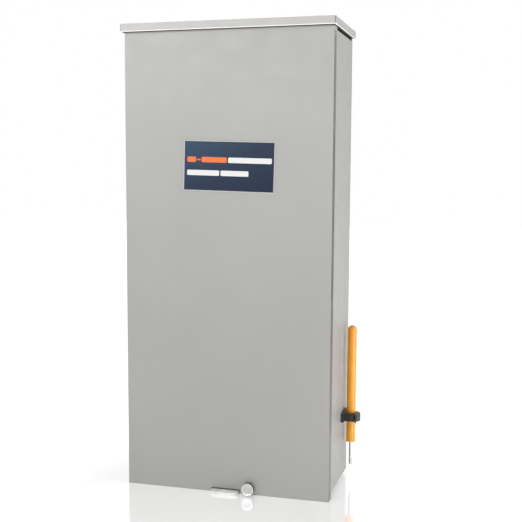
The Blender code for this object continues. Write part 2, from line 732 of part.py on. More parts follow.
enclosure_tub()
rain_cap()
pivot_pins()
hasp_bracket()
latch_nut()
cover_swing = pivot("cover_swing", *on_swing(0))
front_cover(cover_swing)
label_plate(cover_swing)
latch_knob()
plates()
dead_front_rails()
bus_work()
earth_and_neutral()
breakers()
transfer_base()
rotor(pivot("rotor_turn", 0, SHAFT_Y, SHAFT_HEIGHT))
contacts_and_lugs()
solenoid()
plunger()
controls()
lead("coil_lead_upper", LEAD_UPPER)
lead("coil_lead_lower", LEAD_LOWER)
operating_handle()
handle_clip()
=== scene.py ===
"""The looks of the outdoor transfer switch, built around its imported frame.

Row frame: origin at the centre of the back face, +X to the right, -Y to the front, +Z up. Shapes
are written in millimetres from the boxes of the CAD nodes, and made in metres.
"""

import json
from math import cos, pi, radians, sin

import bmesh
import bpy
from mathutils import Matrix, Vector


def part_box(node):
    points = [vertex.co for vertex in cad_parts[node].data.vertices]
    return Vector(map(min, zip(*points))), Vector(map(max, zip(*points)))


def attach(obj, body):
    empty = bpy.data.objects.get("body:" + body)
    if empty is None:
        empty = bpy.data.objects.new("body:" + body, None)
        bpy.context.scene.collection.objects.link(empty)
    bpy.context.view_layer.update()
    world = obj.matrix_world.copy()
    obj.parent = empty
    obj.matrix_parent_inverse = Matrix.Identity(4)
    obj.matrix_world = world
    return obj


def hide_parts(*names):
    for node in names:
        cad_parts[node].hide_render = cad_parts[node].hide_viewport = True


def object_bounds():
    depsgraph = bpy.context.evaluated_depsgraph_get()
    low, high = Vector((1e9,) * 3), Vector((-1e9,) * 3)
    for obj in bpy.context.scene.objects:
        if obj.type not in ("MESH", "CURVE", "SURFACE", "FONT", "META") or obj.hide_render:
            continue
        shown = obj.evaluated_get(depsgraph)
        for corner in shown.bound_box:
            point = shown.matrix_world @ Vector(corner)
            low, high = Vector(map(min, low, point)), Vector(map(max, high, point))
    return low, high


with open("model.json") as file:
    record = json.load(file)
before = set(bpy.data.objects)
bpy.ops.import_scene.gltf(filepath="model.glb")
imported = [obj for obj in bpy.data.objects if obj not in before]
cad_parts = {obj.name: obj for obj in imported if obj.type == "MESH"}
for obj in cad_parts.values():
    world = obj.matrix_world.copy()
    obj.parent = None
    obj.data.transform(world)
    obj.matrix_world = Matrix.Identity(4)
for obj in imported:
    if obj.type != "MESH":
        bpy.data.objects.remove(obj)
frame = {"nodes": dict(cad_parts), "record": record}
CAD_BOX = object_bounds()

MM = 0.001
X, Y, Z = Vector((1, 0, 0)), Vector((0, 1, 0)), Vector((0, 0, 1))
FLOOR = CAD_BOX[0].z

# Places and sizes that the CAD boxes don't give, in millimetres and radians
SWEEP_BACK = -138.2  # the swinging cover's top edge goes no further back
LABEL_SIZE = (150.0, 78.5)
LABEL_TILT = radians(1.5)
HALF_POLE = 12.7  # from the middle of a two-pole breaker to the middle of each pole
BREAKERS = [(f"breaker_{number}", -1 if number < 5 else 1) for number in range(1, 9)]
TOGGLE_PIVOT = (44, -106)
TOGGLE_REACH = 17.5
TOGGLE_LEAN = radians(25)
SHAFT = Vector((0, -66, 177.75))
ARMS_X = (-36, 36)
ARM_TILT = radians(20)
CONTACT_REACH = 34  # from the shaft to the middle of a contact
TERMINALS_X = [90 + 10 * step for step in range(4)]
FUSES_X = [-121 + 13 * step for step in range(3)]


def box_mm(node):
    """(lowest corner, highest corner) of a CAD node in millimetres."""
    low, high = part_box(node)
    return low / MM, high / MM


def middle_of(node):
    """The middle of a CAD node's box in millimetres."""
    low, high = box_mm(node)
    return (low + high) / 2


# ---- materials


class Wiring:
    """Short ways to add nodes to a tree and join them."""

    def __init__(self, tree):
        self.tree = tree

    def feed(self, socket, value):
        """Gives an input a number or a colour, or joins an output to it."""
        if isinstance(value, bpy.types.NodeSocket):
            self.tree.links.new(value, socket)
        elif socket.type == "RGBA":
            socket.default_value = (*value, 1)
        else:
            socket.default_value = value

    def node(self, kind, inputs=None, **settings):
        """A new node with these settings, its inputs fed by name or number."""
        made = self.tree.nodes.new(kind)
        for key, value in settings.items():
            setattr(made, key, value)
        for key, value in (inputs or {}).items():
            self.feed(made.inputs[key], value)
        return made

    def axis(self, letter, source):
        """One coordinate of a vector."""
        return self.node("ShaderNodeSeparateXYZ", {"Vector": source}).outputs[letter]

    def math(self, operation, first, second=0.0):
        """One sum on two values, each a number or an output."""
        return self.node("ShaderNodeMath", {0: first, 1: second}, operation=operation).outputs["Value"]

    def spread(self, fac, low, high, to=(0.0, 1.0)):
        """fac's values from low to high, spread over another range."""
        inputs = {"Value": fac, "From Min": low, "From Max": high, "To Min": to[0], "To Max": to[1]}
        return self.node("ShaderNodeMapRange", inputs).outputs["Result"]


class Finish(Wiring):
    """A material with one Principled shader and textures in the object's own space."""

    def __init__(self, name, roughness, metallic=0.0, **constants):
        self.material = bpy.data.materials.new(name)
        self.material.use_nodes = True
        super().__init__(self.material.node_tree)
        self.shader = self.tree.nodes["Principled BSDF"]
        self.shader.inputs["Roughness"].default_value = roughness
        self.shader.inputs["Metallic"].default_value = metallic
        for socket, value in constants.items():
            self.shader.inputs[socket.replace("_", " ")].default_value = value
        self.place = self.node("ShaderNodeTexCoord").outputs["Object"]
        self.relief = None

    def texture(self, kind, inputs, output="Fac", along=None, **settings):
        """One output of a texture, drawn out along an axis whose number in along is small."""
        place = self.place
        if along:
            place = self.node("ShaderNodeMapping", {"Scale": along, "Vector": place}).outputs["Vector"]
        made = self.node(f"ShaderNodeTex{kind}", {**inputs, "Vector": place}, **settings)
        return made.outputs[output]

    def noise(self, scale, detail=2.0, along=None):
        """Cloudy noise."""
        return self.texture("Noise", {"Scale": scale, "Detail": detail}, along=along)

    def ramp(self, fac, *stops):
        """A colour for each (position, colour) stop, and smooth colours between."""
        made = self.node("ShaderNodeValToRGB", {"Fac": fac})
        points = made.color_ramp.elements
        while len(points) < len(stops):
            points.new(1.0)
        for point, (position, colour) in zip(points, stops):
            point.position = position
            point.color = (*colour, 1)
        return made.outputs["Color"]

    def mottle(self, fac, dark, light):
        """Two colours, spread over the middle values of a texture."""
        return self.ramp(fac, (0.3, dark), (0.7, light))

    def blend(self, fac, first, second, how="MIX"):
        """Two colours, mixed by a number or an output."""
        inputs = {0: fac, 6: first, 7: second}
        return self.node("ShaderNodeMix", inputs, data_type="RGBA", blend_type=how).outputs[2]

    def grained(self, shade, texture, low, high):
        """shade, multiplied by a texture's grain between two levels."""
        grain = self.mottle(texture, (low,) * 3, (high,) * 3)
        return self.blend(1.0, shade, grain, "MULTIPLY")

    def colour(self, source):
        """Sets the base colour."""
        self.feed(self.shader.inputs["Base Color"], source)

    def rough(self, fac, low, high):
        """Lets the roughness follow a texture."""
        self.feed(self.shader.inputs["Roughness"], self.spread(fac, 0.3, 0.7, (low, high)))

    def bump(self, height, depth, strength=0.3):
        """Adds surface relief, depth in metres, on top of what is there."""
        inputs = {"Strength": strength, "Distance": depth, "Height": height}
        if self.relief:
            inputs["Normal"] = self.relief
        self.relief = self.node("ShaderNodeBump", inputs).outputs["Normal"]
        self.feed(self.shader.inputs["Normal"], self.relief)


def tint(colour, factor):
    """A colour made darker or lighter."""
    return tuple(channel * factor for channel in colour)


def powder_coat(name, colour, flange=None):
    """Baked paint: orange-peel bumps of about a millimetre, fine grain, and faint cloudy patches. Given a
    mask, it also paints shade: the masked faces turn near-black.
    """
    look = Finish(name, 0.42, Specular_IOR_Level=0.45)
    cloud = look.mottle(look.noise(5.0, 3.0), tint(colour, 0.965), tint(colour, 1.03))
    shade = look.grained(cloud, look.noise(2600.0, 1.0), 0.93, 1.06)
    if flange:
        # Painted shade: where the mask is 1 the paint drops to 0.12 of its colour
        shade = look.blend(flange(look), shade, tint(colour, 0.12))
    look.colour(shade)
    look.rough(look.noise(40.0), 0.38, 0.48)
    look.bump(look.noise(850.0), 0.00022, 0.35)
    return look.material


def galvanised(name):
    """Zinc plate with spangles that differ a little in shade and gloss."""
    look = Finish(name, 0.42, 0.85)
    spangle = look.texture("Voronoi", {"Scale": 110.0}, "Color")
    frost = look.noise(1600.0)
    shade = look.ramp(spangle, (0.0, (0.36, 0.365, 0.37)), (1.0, (0.52, 0.52, 0.515)))
    look.colour(look.grained(shade, frost, 0.9, 1.08))
    look.rough(spangle, 0.38, 0.5)
    look.bump(frost, 0.00003)
    return look.material


def brushed(name, dark, light, along, roughness=0.3):
    """Metal with fine drawn lines, along the axis whose scale is small."""
    look = Finish(name, roughness, 1.0)
    lines = look.noise(1400.0, 3.0, along)
    look.colour(look.mottle(lines, dark, light))
    look.rough(lines, roughness - 0.07, roughness + 0.09)
    look.bump(lines, 0.00004, 0.4)
    return look.material


def moulded(name, colour, roughness=0.45, texture=700.0):
    """Plastic with a fine eroded mould texture."""
    look = Finish(name, roughness, Specular_IOR_Level=0.5)
    patches = look.noise(60.0, 3.0)
    look.colour(look.mottle(patches, tint(colour, 0.85), tint(colour, 1.15)))
    look.rough(patches, roughness - 0.06, roughness + 0.08)
    look.bump(look.noise(texture, 3.0), 0.00012, 0.35)
    return look.material


def label_film(name, low, high):
    """Navy printed film with a painted sheen that lightens its upper left."""
    look = Finish(name, 0.4, Specular_IOR_Level=0.15)
    # Painted sheen: the colour runs from lighter at the upper left to darker at the lower right
    across = look.spread(look.axis("X", look.place), low.x * MM, high.x * MM)
    up = look.spread(look.axis("Z", look.place), low.z * MM, high.z * MM, (1.0, 0.0))
    fade = look.math("MULTIPLY", look.math("ADD", across, up), 0.5)
    light, plain, dark = (0.034, 0.066, 0.115), (0.018, 0.032, 0.062), (0.012, 0.022, 0.046)
    shade = look.ramp(fade, (0.0, light), (0.5, plain), (1.0, dark))
    look.colour(look.grained(shade, look.noise(1800.0), 0.93, 1.07))
    look.rough(look.noise(90.0), 0.36, 0.44)
    look.bump(look.noise(350.0), 0.00006)
    return look.material


def printed(name, colour):
    """Ink with a faint print grain."""
    look = Finish(name, 0.4)
    look.colour(look.mottle(look.noise(1500.0), tint(colour, 0.93), colour))
    look.bump(look.noise(900.0), 0.00003)
    return look.material


def vinyl(name):
    """Dipped orange vinyl: soft, glossy, with slow ripples down its length and a few scuffs."""
    coat = {"Coat_Weight": 0.2, "Coat_Roughness": 0.2}
    depth = {"Subsurface_Weight": 0.4, "Subsurface_Radius": (0.008, 0.004, 0.001)}
    look = Finish(name, 0.34, **coat, **depth)
    slow = look.noise(30.0, 3.0, (1, 1, 0.35))
    look.colour(look.mottle(slow, (0.98, 0.385, 0.008), (1.0, 0.42, 0.011)))
    look.rough(look.noise(260.0, 3.0, (1, 1, 0.3)), 0.24, 0.4)
    look.bump(look.noise(120.0, 2.0, (1, 1, 0.4)), 0.0002, 0.25)
    look.bump(look.noise(1500.0), 0.00005)
    return look.material


def taped(name):
    """Amber tape wound round a coil, with a step at each turn's edge."""
    look = Finish(name, 0.28, Coat_Weight=0.5, Coat_Roughness=0.1)
    turns = look.texture("Wave", {"Scale": 58.0, "Distortion": 0.4}, bands_direction="Z")
    gap, edge, face = (0.26, 0.12, 0.012), (0.62, 0.36, 0.05), (0.78, 0.5, 0.1)
    look.colour(look.ramp(turns, (0.0, gap), (0.25, edge), (1.0, face)))
    look.bump(turns, 0.0004, 0.5)
    look.bump(look.noise(900.0), 0.00005)
    return look.material


def cloudy_case(name):
    """Milky polycarbonate."""
    look = Finish(name, 0.16, Transmission_Weight=0.35, IOR=1.58)
    haze = look.noise(45.0, 3.0)
    look.colour(look.mottle(haze, (0.66, 0.68, 0.66), (0.82, 0.83, 0.8)))
    look.rough(haze, 0.12, 0.24)
    look.bump(look.noise(600.0), 0.00004)
    return look.material


def foam(name):
    """Black closed-cell foam with small pores."""
    look = Finish(name, 0.9, Specular_IOR_Level=0.15)
    pores = look.texture("Voronoi", {"Scale": 1300.0}, "Distance")
    look.colour(look.ramp(pores, (0.1, (0.004, 0.004, 0.004)), (0.6, (0.016, 0.016, 0.017))))
    look.bump(pores, 0.0002, 0.6)
    return look.material


def painted_flange_shade_mask(look):
    """Mask for painted shade on the cover: 1 on the faces of the cover's side flanges, a little less
    towards top and bottom.
    """
    middle, notch = 0.05, 0.362
    away = look.math("ABSOLUTE", look.math("SUBTRACT", look.axis("Z", look.place), middle))
    fade = look.spread(away, 0.1, 0.45, (1.0, 0.6))
    below_notch = look.math("LESS_THAN", look.axis("Z", look.place), notch)
    normal = look.node("ShaderNodeTexCoord").outputs["Normal"]
    side = look.math("GREATER_THAN", look.math("ABSOLUTE", look.axis("X", normal)), 0.8)
    return look.math("MULTIPLY", look.math("MULTIPLY", side, below_notch), fade)


COVER_GREY = (0.376, 0.373, 0.356)
CAP_GREY = (0.452, 0.441, 0.43)

# One look for each material slot of the CAD nodes
LOOKS = {
    "cover_paint": powder_coat("enclosure_powder_coat", COVER_GREY),
    "cap_paint": powder_coat("cap_powder_coat", CAP_GREY),
    "zinc_plate": galvanised("zinc_spangle"),
    "plain_steel": brushed("drawn_steel", (0.34, 0.34, 0.35), (0.6, 0.6, 0.61), (1, 1, 0.04), 0.28),
    "knob_metal": brushed("turned_nickel", (0.4, 0.395, 0.39), (0.56, 0.555, 0.55), (1, 0.05, 1), 0.5),
    "tinned_bus": brushed("tinned_copper", (0.42, 0.42, 0.41), (0.6, 0.6, 0.59), (1, 1, 0.05), 0.34),
    "lug_aluminium": brushed(
        "extruded_aluminium", (0.34, 0.345, 0.35), (0.52, 0.525, 0.53), (1, 1, 0.06), 0.38
    ),
    "copper": brushed("rolled_copper", (0.42, 0.17, 0.085), (0.66, 0.32, 0.19), (1, 0.06, 1), 0.34),
    "black_moulding": moulded("black_phenolic", (0.018, 0.018, 0.02), 0.42),
    "grey_insulator": moulded("grey_polyester_glass", (0.13, 0.13, 0.14), 0.55, 300.0),
    "wire_jacket": moulded("red_wire_jacket", (0.34, 0.014, 0.012), 0.36, 900.0),
    "coil_tape": taped("amber_coil_tape"),
    "relay_case": cloudy_case("milky_polycarbonate"),
    "grip_vinyl": vinyl("orange_vinyl"),
    "label_film": label_film("navy_label_film_painted_sheen", *box_mm("label_plate")),
}
# The cover's paint, with painted shade on its side flanges, darkest at mid-height
COVER_PAINT_AND_FLANGE_SHADE = powder_coat("cover_powder_coat_and_painted_flange_shade", COVER_GREY, painted_flange_shade_mask)
# Nearly twice as light as the cap: a painted highlight along the cap's hem
HEM_PAINTED_HIGHLIGHT = powder_coat("hem_painted_highlight_coat", tint(CAP_GREY, 1.9))
# Darker than the cap: fold seams that also carry painted shade at the cap's corners
SEAM_AND_CORNER_SHADE = powder_coat("seam_and_painted_corner_shade_coat", tint(CAP_GREY, 0.42))
# Darker than the cover: painted shade for folds and score lines
FOLD_AND_SCORE_SHADE = powder_coat("fold_and_score_painted_shade_coat", tint(COVER_GREY, 0.72))
ORANGE_PAINT = powder_coat("orange_powder_coat", (0.72, 0.17, 0.02))
HASP_LOOK = moulded("bright_zinc_paint", (0.86, 0.86, 0.85), 0.34, 900.0)
# Polished rim whose light colour is also a painted highlight on the knob's face
RIM_POLISH_AND_HIGHLIGHT = brushed("polished_rim_painted_highlight", (0.7, 0.7, 0.7), (0.86, 0.86, 0.86), (1, 1, 1), 0.22)
BAND_LOOK = brushed("knurled_steel", (0.34, 0.34, 0.34), (0.55, 0.55, 0.55), (1, 0.1, 1), 0.38)
# Black screen that also serves as painted shade in the vent gaps under the cap
SCREEN_AND_GAP_SHADE = foam("black_screen_and_painted_gap_shade")
ROD_LOOK = brushed("polished_rod", (0.5, 0.5, 0.5), (0.8, 0.8, 0.8), (1, 1, 0.03), 0.2)
BRASS = brushed("brass", (0.55, 0.38, 0.12), (0.8, 0.62, 0.27), (1, 1, 0.1), 0.3)
PAPER = printed("paper_tag", (0.78, 0.77, 0.72))
GREY_INK = printed("grey_ink", (0.12, 0.12, 0.14))
# Black foam for gaskets and pads, also used as painted shade under the cap's lip and around the latch knob
BLACK_FOAM_AND_SHADE = foam("black_foam_and_painted_shade")
WHITE_INK = printed("white_ink", (0.74, 0.74, 0.73))
ORANGE_INK = printed("orange_ink", (0.78, 0.15, 0.025))
SILVER_EDGE = printed("pale_margin", (0.62, 0.63, 0.65))
NAVY_EDGE = printed("navy_edge", (0.009, 0.014, 0.03))
# Blackened steel for set screws, also used as painted shade for the bars' wire holes
BLACK_STEEL_AND_HOLE_SHADE = brushed("blackened_steel_and_painted_hole_shade", (0.02, 0.02, 0.022), (0.06, 0.06, 0.065), (1, 1, 0.1), 0.45)
GREEN_SCREW = brushed("green_zinc", (0.03, 0.2, 0.07), (0.09, 0.42, 0.16), (1, 1, 0.2), 0.35)
SILVER_PAD = brushed("silver_contact", (0.62, 0.6, 0.56), (0.88, 0.87, 0.84), (1, 1, 1), 0.25)
WHITE_MOULDING = moulded("white_nylon", (0.7, 0.69, 0.65), 0.4)


# ---- mesh helpers


def smooth_group():
    """Geometry nodes that shade faces smooth, apart from edges sharper than 32 degrees."""
    group = bpy.data.node_groups.new("smooth_by_angle", "GeometryNodeTree")
    for way in ("INPUT", "OUTPUT"):
        group.interface.new_socket("Geometry", in_out=way, socket_type="NodeSocketGeometry")
    tree, kind = Wiring(group), "GeometryNodeSetShadeSmooth"
    start = tree.node("NodeGroupInput").outputs[0]
    bare = tree.node("GeometryNodeRemoveAttribute", {"Geometry": start, "Name": "custom_normal"})
    faces = tree.node(kind, {"Geometry": bare.outputs["Geometry"]})
    angle = tree.node("GeometryNodeInputMeshEdgeAngle").outputs["Unsigned Angle"]
    blunt = tree.node("FunctionNodeCompare", {0: angle, 1: radians(32)}, operation="LESS_THAN")
    inputs = {"Geometry": faces.outputs["Geometry"], "Shade Smooth": blunt.outputs["Result"]}
    edges = tree.node(kind, inputs, domain="EDGE")
    tree.node("NodeGroupOutput", {0: edges.outputs["Geometry"]})
    return group


SMOOTH = smooth_group()


def finish_node(name, edge, segments=2, look=None):
    """Gives a CAD node its finish and rounds its sharp edges, edge in millimetres."""
    obj = frame["nodes"][name]
    slot = next(s["material_slot"] for s in frame["record"]["subparts"] if s["node"] == name)
    for place in obj.material_slots:
        place.material = look or LOOKS[slot]
    weld = obj.modifiers.new("weld", "WELD")
    weld.merge_threshold = 1e-5
    flat = obj.modifiers.new("one_face_per_plane", "DECIMATE")
    flat.decimate_type = "DISSOLVE"
    flat.angle_limit = radians(0.5)
    smooth = obj.modifiers.new("smooth", "NODES")
    smooth.node_group = SMOOTH
    if edge:
        bevel = obj.modifiers.new("edges", "BEVEL")
        bevel.width = edge * MM
        bevel.segments = segments
        bevel.limit_method = "ANGLE"
        bevel.angle_limit = radians(40)
        bevel.harden_normals = True


def add_object(name, data):
    """A new object in the scene."""
    obj = bpy.data.objects.new(name, data)
    bpy.context.scene.collection.objects.link(obj)
    return obj


def to_mesh(name, bm):
    """Turns bm into a mesh, with its faces outwards."""
    bmesh.ops.recalc_face_normals(bm, faces=bm.faces)
    mesh = bpy.data.meshes.new(name)
    bm.to_mesh(mesh)
    bm.free()
    return mesh


def piece(name, bm, look, body="enclosure", replaces=()):
    """Makes an object of this shape, written in millimetres, riding on a CAD body. look is a
    material, or the name of a CAD slot, whose look the piece takes too."""
    if isinstance(look, str):
        look = LOOKS[look]
    bmesh.ops.scale(bm, vec=(MM, MM, MM), verts=bm.verts)
    mesh = to_mesh(name, bm)
    mesh.materials.append(look)
    mesh.shade_smooth()
    mesh.set_sharp_from_angle(angle=radians(35))
    obj = add_object(name, mesh)
    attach(obj, body)
    if replaces:
        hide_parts(*replaces)


def rounded(bm, verts, edges, offset, segments):
    """Rounds these edges, and gives the corners that the shape has then."""
    made = bmesh.ops.bevel(
        bm, geom=list(edges), offset=offset, segments=segments, affect="EDGES", profile=0.5
    )
    return list({vert for face in made["faces"] for vert in face.verts} | {v for v in verts if v.is_valid})


def add_box(bm, low, high, edge=0.3, segments=2, turn=None):
    """A box between two corners, with rounded edges. turn is a matrix about its middle."""
    low, high = Vector(low), Vector(high)
    made = bmesh.ops.create_cube(bm, size=1)["verts"]
    bmesh.ops.scale(bm, vec=high - low, verts=made)
    if edge:
        lines = {line for vert in made for line in vert.link_edges}
        made = rounded(bm, made, lines, edge, segments)
    if turn:
        bmesh.ops.transform(bm, matrix=turn, verts=made)
    bmesh.ops.translate(bm, vec=(low + high) / 2, verts=made)


def add_slab(bm, x, y, z, edge=0.3, segments=2):
    """A box that fills a range along each axis."""
    add_box(bm, (x[0], y[0], z[0]), (x[1], y[1], z[1]), edge, segments)


def mirrored(side, near, far):
    """A range of X on the left (-1) or right (1) side, in rising order."""
    return sorted((side * near, side * far))


def add_pair(bm, near, far, y, z, edge=0.3, segments=2):
    """The same box on the left and the right side, near and far from the middle."""
    for side in (-1, 1):
        add_slab(bm, mirrored(side, near, far), y, z, edge, segments)


def grid(xs, y, zs):
    """A point for each X and each Z."""
    return [(x, y, z) for x in xs for z in zs]


def disc(radius, start, end):
    """The profile of a plain disc for add_turned."""
    return [(0, start), (radius, start), (radius, end), (0, end)]


def add_turned(bm, profile, centre, axis=Z, sides=32, closed=False):
    """A solid turned about an axis through centre, from (radius, along) points, tip to tip.
    A closed profile goes round on itself and makes a ring."""
    aim = axis.to_track_quat("Z", "Y").to_matrix()
    rings = []
    for radius, along in profile:
        if radius < 1e-6:
            rings.append([bm.verts.new(aim @ Vector((0, 0, along)) + Vector(centre))])
            continue
        corners = []
        for step in range(sides):
            angle = 2 * pi * step / sides
            point = Vector((radius * cos(angle), radius * sin(angle), along))
            corners.append(bm.verts.new(aim @ point + Vector(centre)))
        rings.append(corners)
    for lower, upper in zip(rings, [*rings[1:], rings[0]] if closed else rings[1:]):
        for step in range(sides):
            corners = [
                lower[step % len(lower)],
                lower[(step + 1) % len(lower)],
                upper[(step + 1) % len(upper)],
                upper[step % len(upper)],
            ]
            unique = list(dict.fromkeys(corners))
            if len(unique) > 2:
                bm.faces.new(unique)


def add_outline(bm, points, depth, aim, edge=0.0):
    """A flat outline, given as (x, y) points, made depth thick along z and placed by a matrix."""
    face = bm.faces.new([bm.verts.new((x, y, -depth / 2)) for x, y in points])
    grown = bmesh.ops.extrude_face_region(bm, geom=[face])["geom"]
    top = [item for item in grown if isinstance(item, bmesh.types.BMVert)]
    bmesh.ops.translate(bm, vec=(0, 0, depth), verts=top)
    verts = [*face.verts, *top]
    if edge:
        lines = {line for vert in verts for line in vert.link_edges}
        level = [line for line in lines if abs(line.verts[0].co.z - line.verts[1].co.z) < 1e-6]
        verts = rounded(bm, verts, level, edge, 2)
    bmesh.ops.transform(bm, matrix=aim, verts=verts)


def arc(centre, radius, start, end, steps):
    """Points on a circle between two angles in degrees."""
    angles = [radians(start + (end - start) * step / steps) for step in range(steps + 1)]
    return [(centre[0] + radius * cos(a), centre[1] + radius * sin(a)) for a in angles]


def rounded_rectangle(width, height, radius, steps=6):
    """The outline of a rectangle with round corners, about the origin."""
    points = []
    for turn, (sx, sy) in enumerate(((1, 1), (-1, 1), (-1, -1), (1, -1))):
        corner = (sx * (width / 2 - radius), sy * (height / 2 - radius))
        points += arc(corner, radius, 90 * turn, 90 * turn + 90, steps)
    return points


def placed(at, towards=Z, spin=0.0):
    """A matrix that puts the origin at a point, and +Z towards a direction."""
    turn = towards.to_track_quat("Z", "Y").to_matrix().to_4x4()
    return Matrix.Translation(Vector(at)) @ turn @ Matrix.Rotation(spin, 4, "Z")


def carve(bm, cutter):
    """bm with the cutter's shape taken out of it."""
    objects = [add_object("carve", to_mesh("carve", source)) for source in (bm, cutter)]
    change = objects[0].modifiers.new("carve", "BOOLEAN")
    change.operation = "DIFFERENCE"
    change.object = objects[1]
    result = bmesh.new()
    result.from_object(objects[0], bpy.context.evaluated_depsgraph_get())
    for obj in objects:
        bpy.data.meshes.remove(obj.data)
    return result


def add_tag(paper, ink, low, high, lines):
    """A rounded sticker facing -Y between two corners, and bars of different lengths on it."""
    low, high = Vector(low), Vector(high)
    middle, size = (low + high) / 2, high - low
    outline = rounded_rectangle(size.x, size.z, min(size.x, size.z) * 0.12, 4)
    add_outline(paper, outline, high.y - low.y, placed(middle, -Y))
    thick, start = min(0.8, size.z * 0.07), low.x + size.x * 0.1
    for line in range(lines):
        z = low.z + size.z * (line + 1) / (lines + 1)
        x = (start, start + size.x * (0.8 - 0.22 * (line % 3)))
        add_slab(ink, x, (low.y - 0.06, low.y + 0.02), (z - thick, z + thick), 0)


def hex_head(radius):
    """A hexagon head on a thin washer."""
    bm = bmesh.new()
    height = radius * 0.62
    corners = arc((0, 0), radius, 0, 300, 5)
    add_outline(bm, corners, height, Matrix.Translation((0, 0, height / 2 + radius * 0.12)), radius * 0.09)
    add_turned(bm, disc(radius * 1.25, 0, radius * 0.13), (0, 0, 0))
    return bm


def screw_head(kind, radius):
    """A fastener head: hex, cross, slot, or set, its seat at the origin and its top towards +Z."""
    if kind == "hex":
        return hex_head(radius)
    height = radius * 0.62
    angles = [radians(a) for a in (0, 25, 50)]
    dome = [(radius * cos(a), height * (0.35 + 0.65 * sin(a))) for a in angles]
    profile = [(0, 0), (radius, 0), *dome, (radius * 0.35, height * 0.99), (0, height)]
    if kind == "set":
        profile = [(0, 0), (radius, 0), (radius, height * 0.85), (radius * 0.85, height), (0, height)]
    bm, tool = bmesh.new(), bmesh.new()
    add_turned(bm, profile, (0, 0, 0), sides=28)
    if kind == "set":
        corners = arc((0, 0), radius * 0.52, 0, 300, 5)
        add_outline(tool, corners, height * 1.6, Matrix.Translation((0, 0, height)))
        return carve(bm, tool)
    long = radius * (1.3 if kind == "slot" else 0.62)
    thin, deep = (-radius * 0.13, radius * 0.13), (height * 0.45, height * 2)
    add_slab(tool, (-long, long), thin, deep, 0)
    bm = carve(bm, tool)
    if kind == "cross":
        tool = bmesh.new()
        add_slab(tool, thin, (-long, long), deep, 0)
        bm = carve(bm, tool)
    return bm


def screws(name, kind, radius, points, look="zinc_plate"):
    """One piece with a fastener head at each point, facing the front, each turned its own way."""
    head = to_mesh(name, screw_head(kind, radius))
    bm = bmesh.new()
    for index, point in enumerate(points):
        before = len(bm.verts)
        bm.from_mesh(head)
        bm.verts.ensure_lookup_table()
        spin = radians(37 + 83 * index)
        bmesh.ops.transform(bm, matrix=placed(point, -Y, spin), verts=bm.verts[before:])
    bpy.data.meshes.remove(head)
    piece(name, bm, look)


# ---- outside


def rain_cap():
    """The cap's hemmed lower edge, lightened as a painted highlight, corner seams darkened as painted
    shade, and foam seal, whose front strip shows below the lip as a painted shadow line; and the screened
    vents under it, whose black screens stand in for the shade under the side lips.
    """
    finish_node("rain_cap", 0.9, 3)
    low, high = box_mm("rain_cap")
    sheet, proud, hem = 1.2, 0.45, (low.z, low.z + 1.5)
    # The hem strips take the lighter paint: a painted highlight along the lip's lower edge
    bm = bmesh.new()
    add_slab(bm, (low.x - proud, high.x + proud), (low.y - proud, low.y + sheet), hem, 0.5, 3)
    add_pair(bm, high.x - sheet - proud, high.x + proud, (low.y + 0.6, high.y - 0.5), hem, 0.5, 3)
    piece("cap_hem_painted_highlight", bm, HEM_PAINTED_HIGHLIGHT)
    bm = bmesh.new()
    # Dark strips at the front corners: fold seams darkened as painted shade, wider on the right corner's
    # front than the left's
    for side, inset in ((-1, 0.3), (1, 1.5)):
        x = mirrored(side, high.x - inset, high.x + 0.12)
        add_slab(bm, x, (low.y - 0.12, low.y + 0.6), (hem[1], high.z - sheet), 0.1, 1)
    piece("cap_corner_seams_painted_shade", bm, SEAM_AND_CORNER_SHADE)
    bm = bmesh.new()
    head = high.z - 2.2
    # The front strip hangs 0.1 mm below the lip, a black line that stands in for the shadow under the lip;
    # the side strips stay hidden
    add_slab(bm, (low.x + 1.8, high.x - 1.8), (low.y + 1.3, low.y + 7.7), (low.z - 0.1, head))
    add_pair(bm, high.x - 5.2, high.x - 1.8, (low.y + 8.2, -1), (low.z + 1.2, head), 0.5)
    piece("cap_foam_strip_painted_shadow", bm, BLACK_FOAM_AND_SHADE)

    wall, front, back = box_mm("enclosure_tub")[1].x, SWEEP_BACK + 7, -8.0
    foot, head = low.z - 3.6, low.z + 1.0
    # Black screens outside the vent slots reach below the lip and stand in for the shade in the gap under
    # the side lips
    bm = bmesh.new()
    add_pair(bm, wall + 0.02, wall + 0.22, (front, back), (foot, head), 0.05, 1)
    for z in (foot + 0.3, foot + 2.2, head - 0.9):
        add_pair(bm, wall + 0.1, wall + 0.34, (front, back), (z, z + 0.5), 0.1, 1)
    piece("vent_screens_painted_shade", bm, SCREEN_AND_GAP_SHADE)
    bm = bmesh.new()
    add_pair(bm, wall - 0.9, wall + 0.3, (front - 1.5, back + 1.5), (foot - 1.3, foot + 0.1), 0.25)
    piece("vent_sills", bm, "cover_paint")


def label_border(outset):
    """Four strips as (x range, y range), whose outer edges stand this far outside the label's."""
    half_x, half_y, wide = LABEL_SIZE[0] / 2 + outset, LABEL_SIZE[1] / 2 + outset, 0.9
    level = [((-half_x, half_x), (y, y + wide)) for y in (-half_y, half_y - wide)]
    return level + [((x, x + wide), (-half_y, half_y)) for x in (-half_x, half_x - wide)]


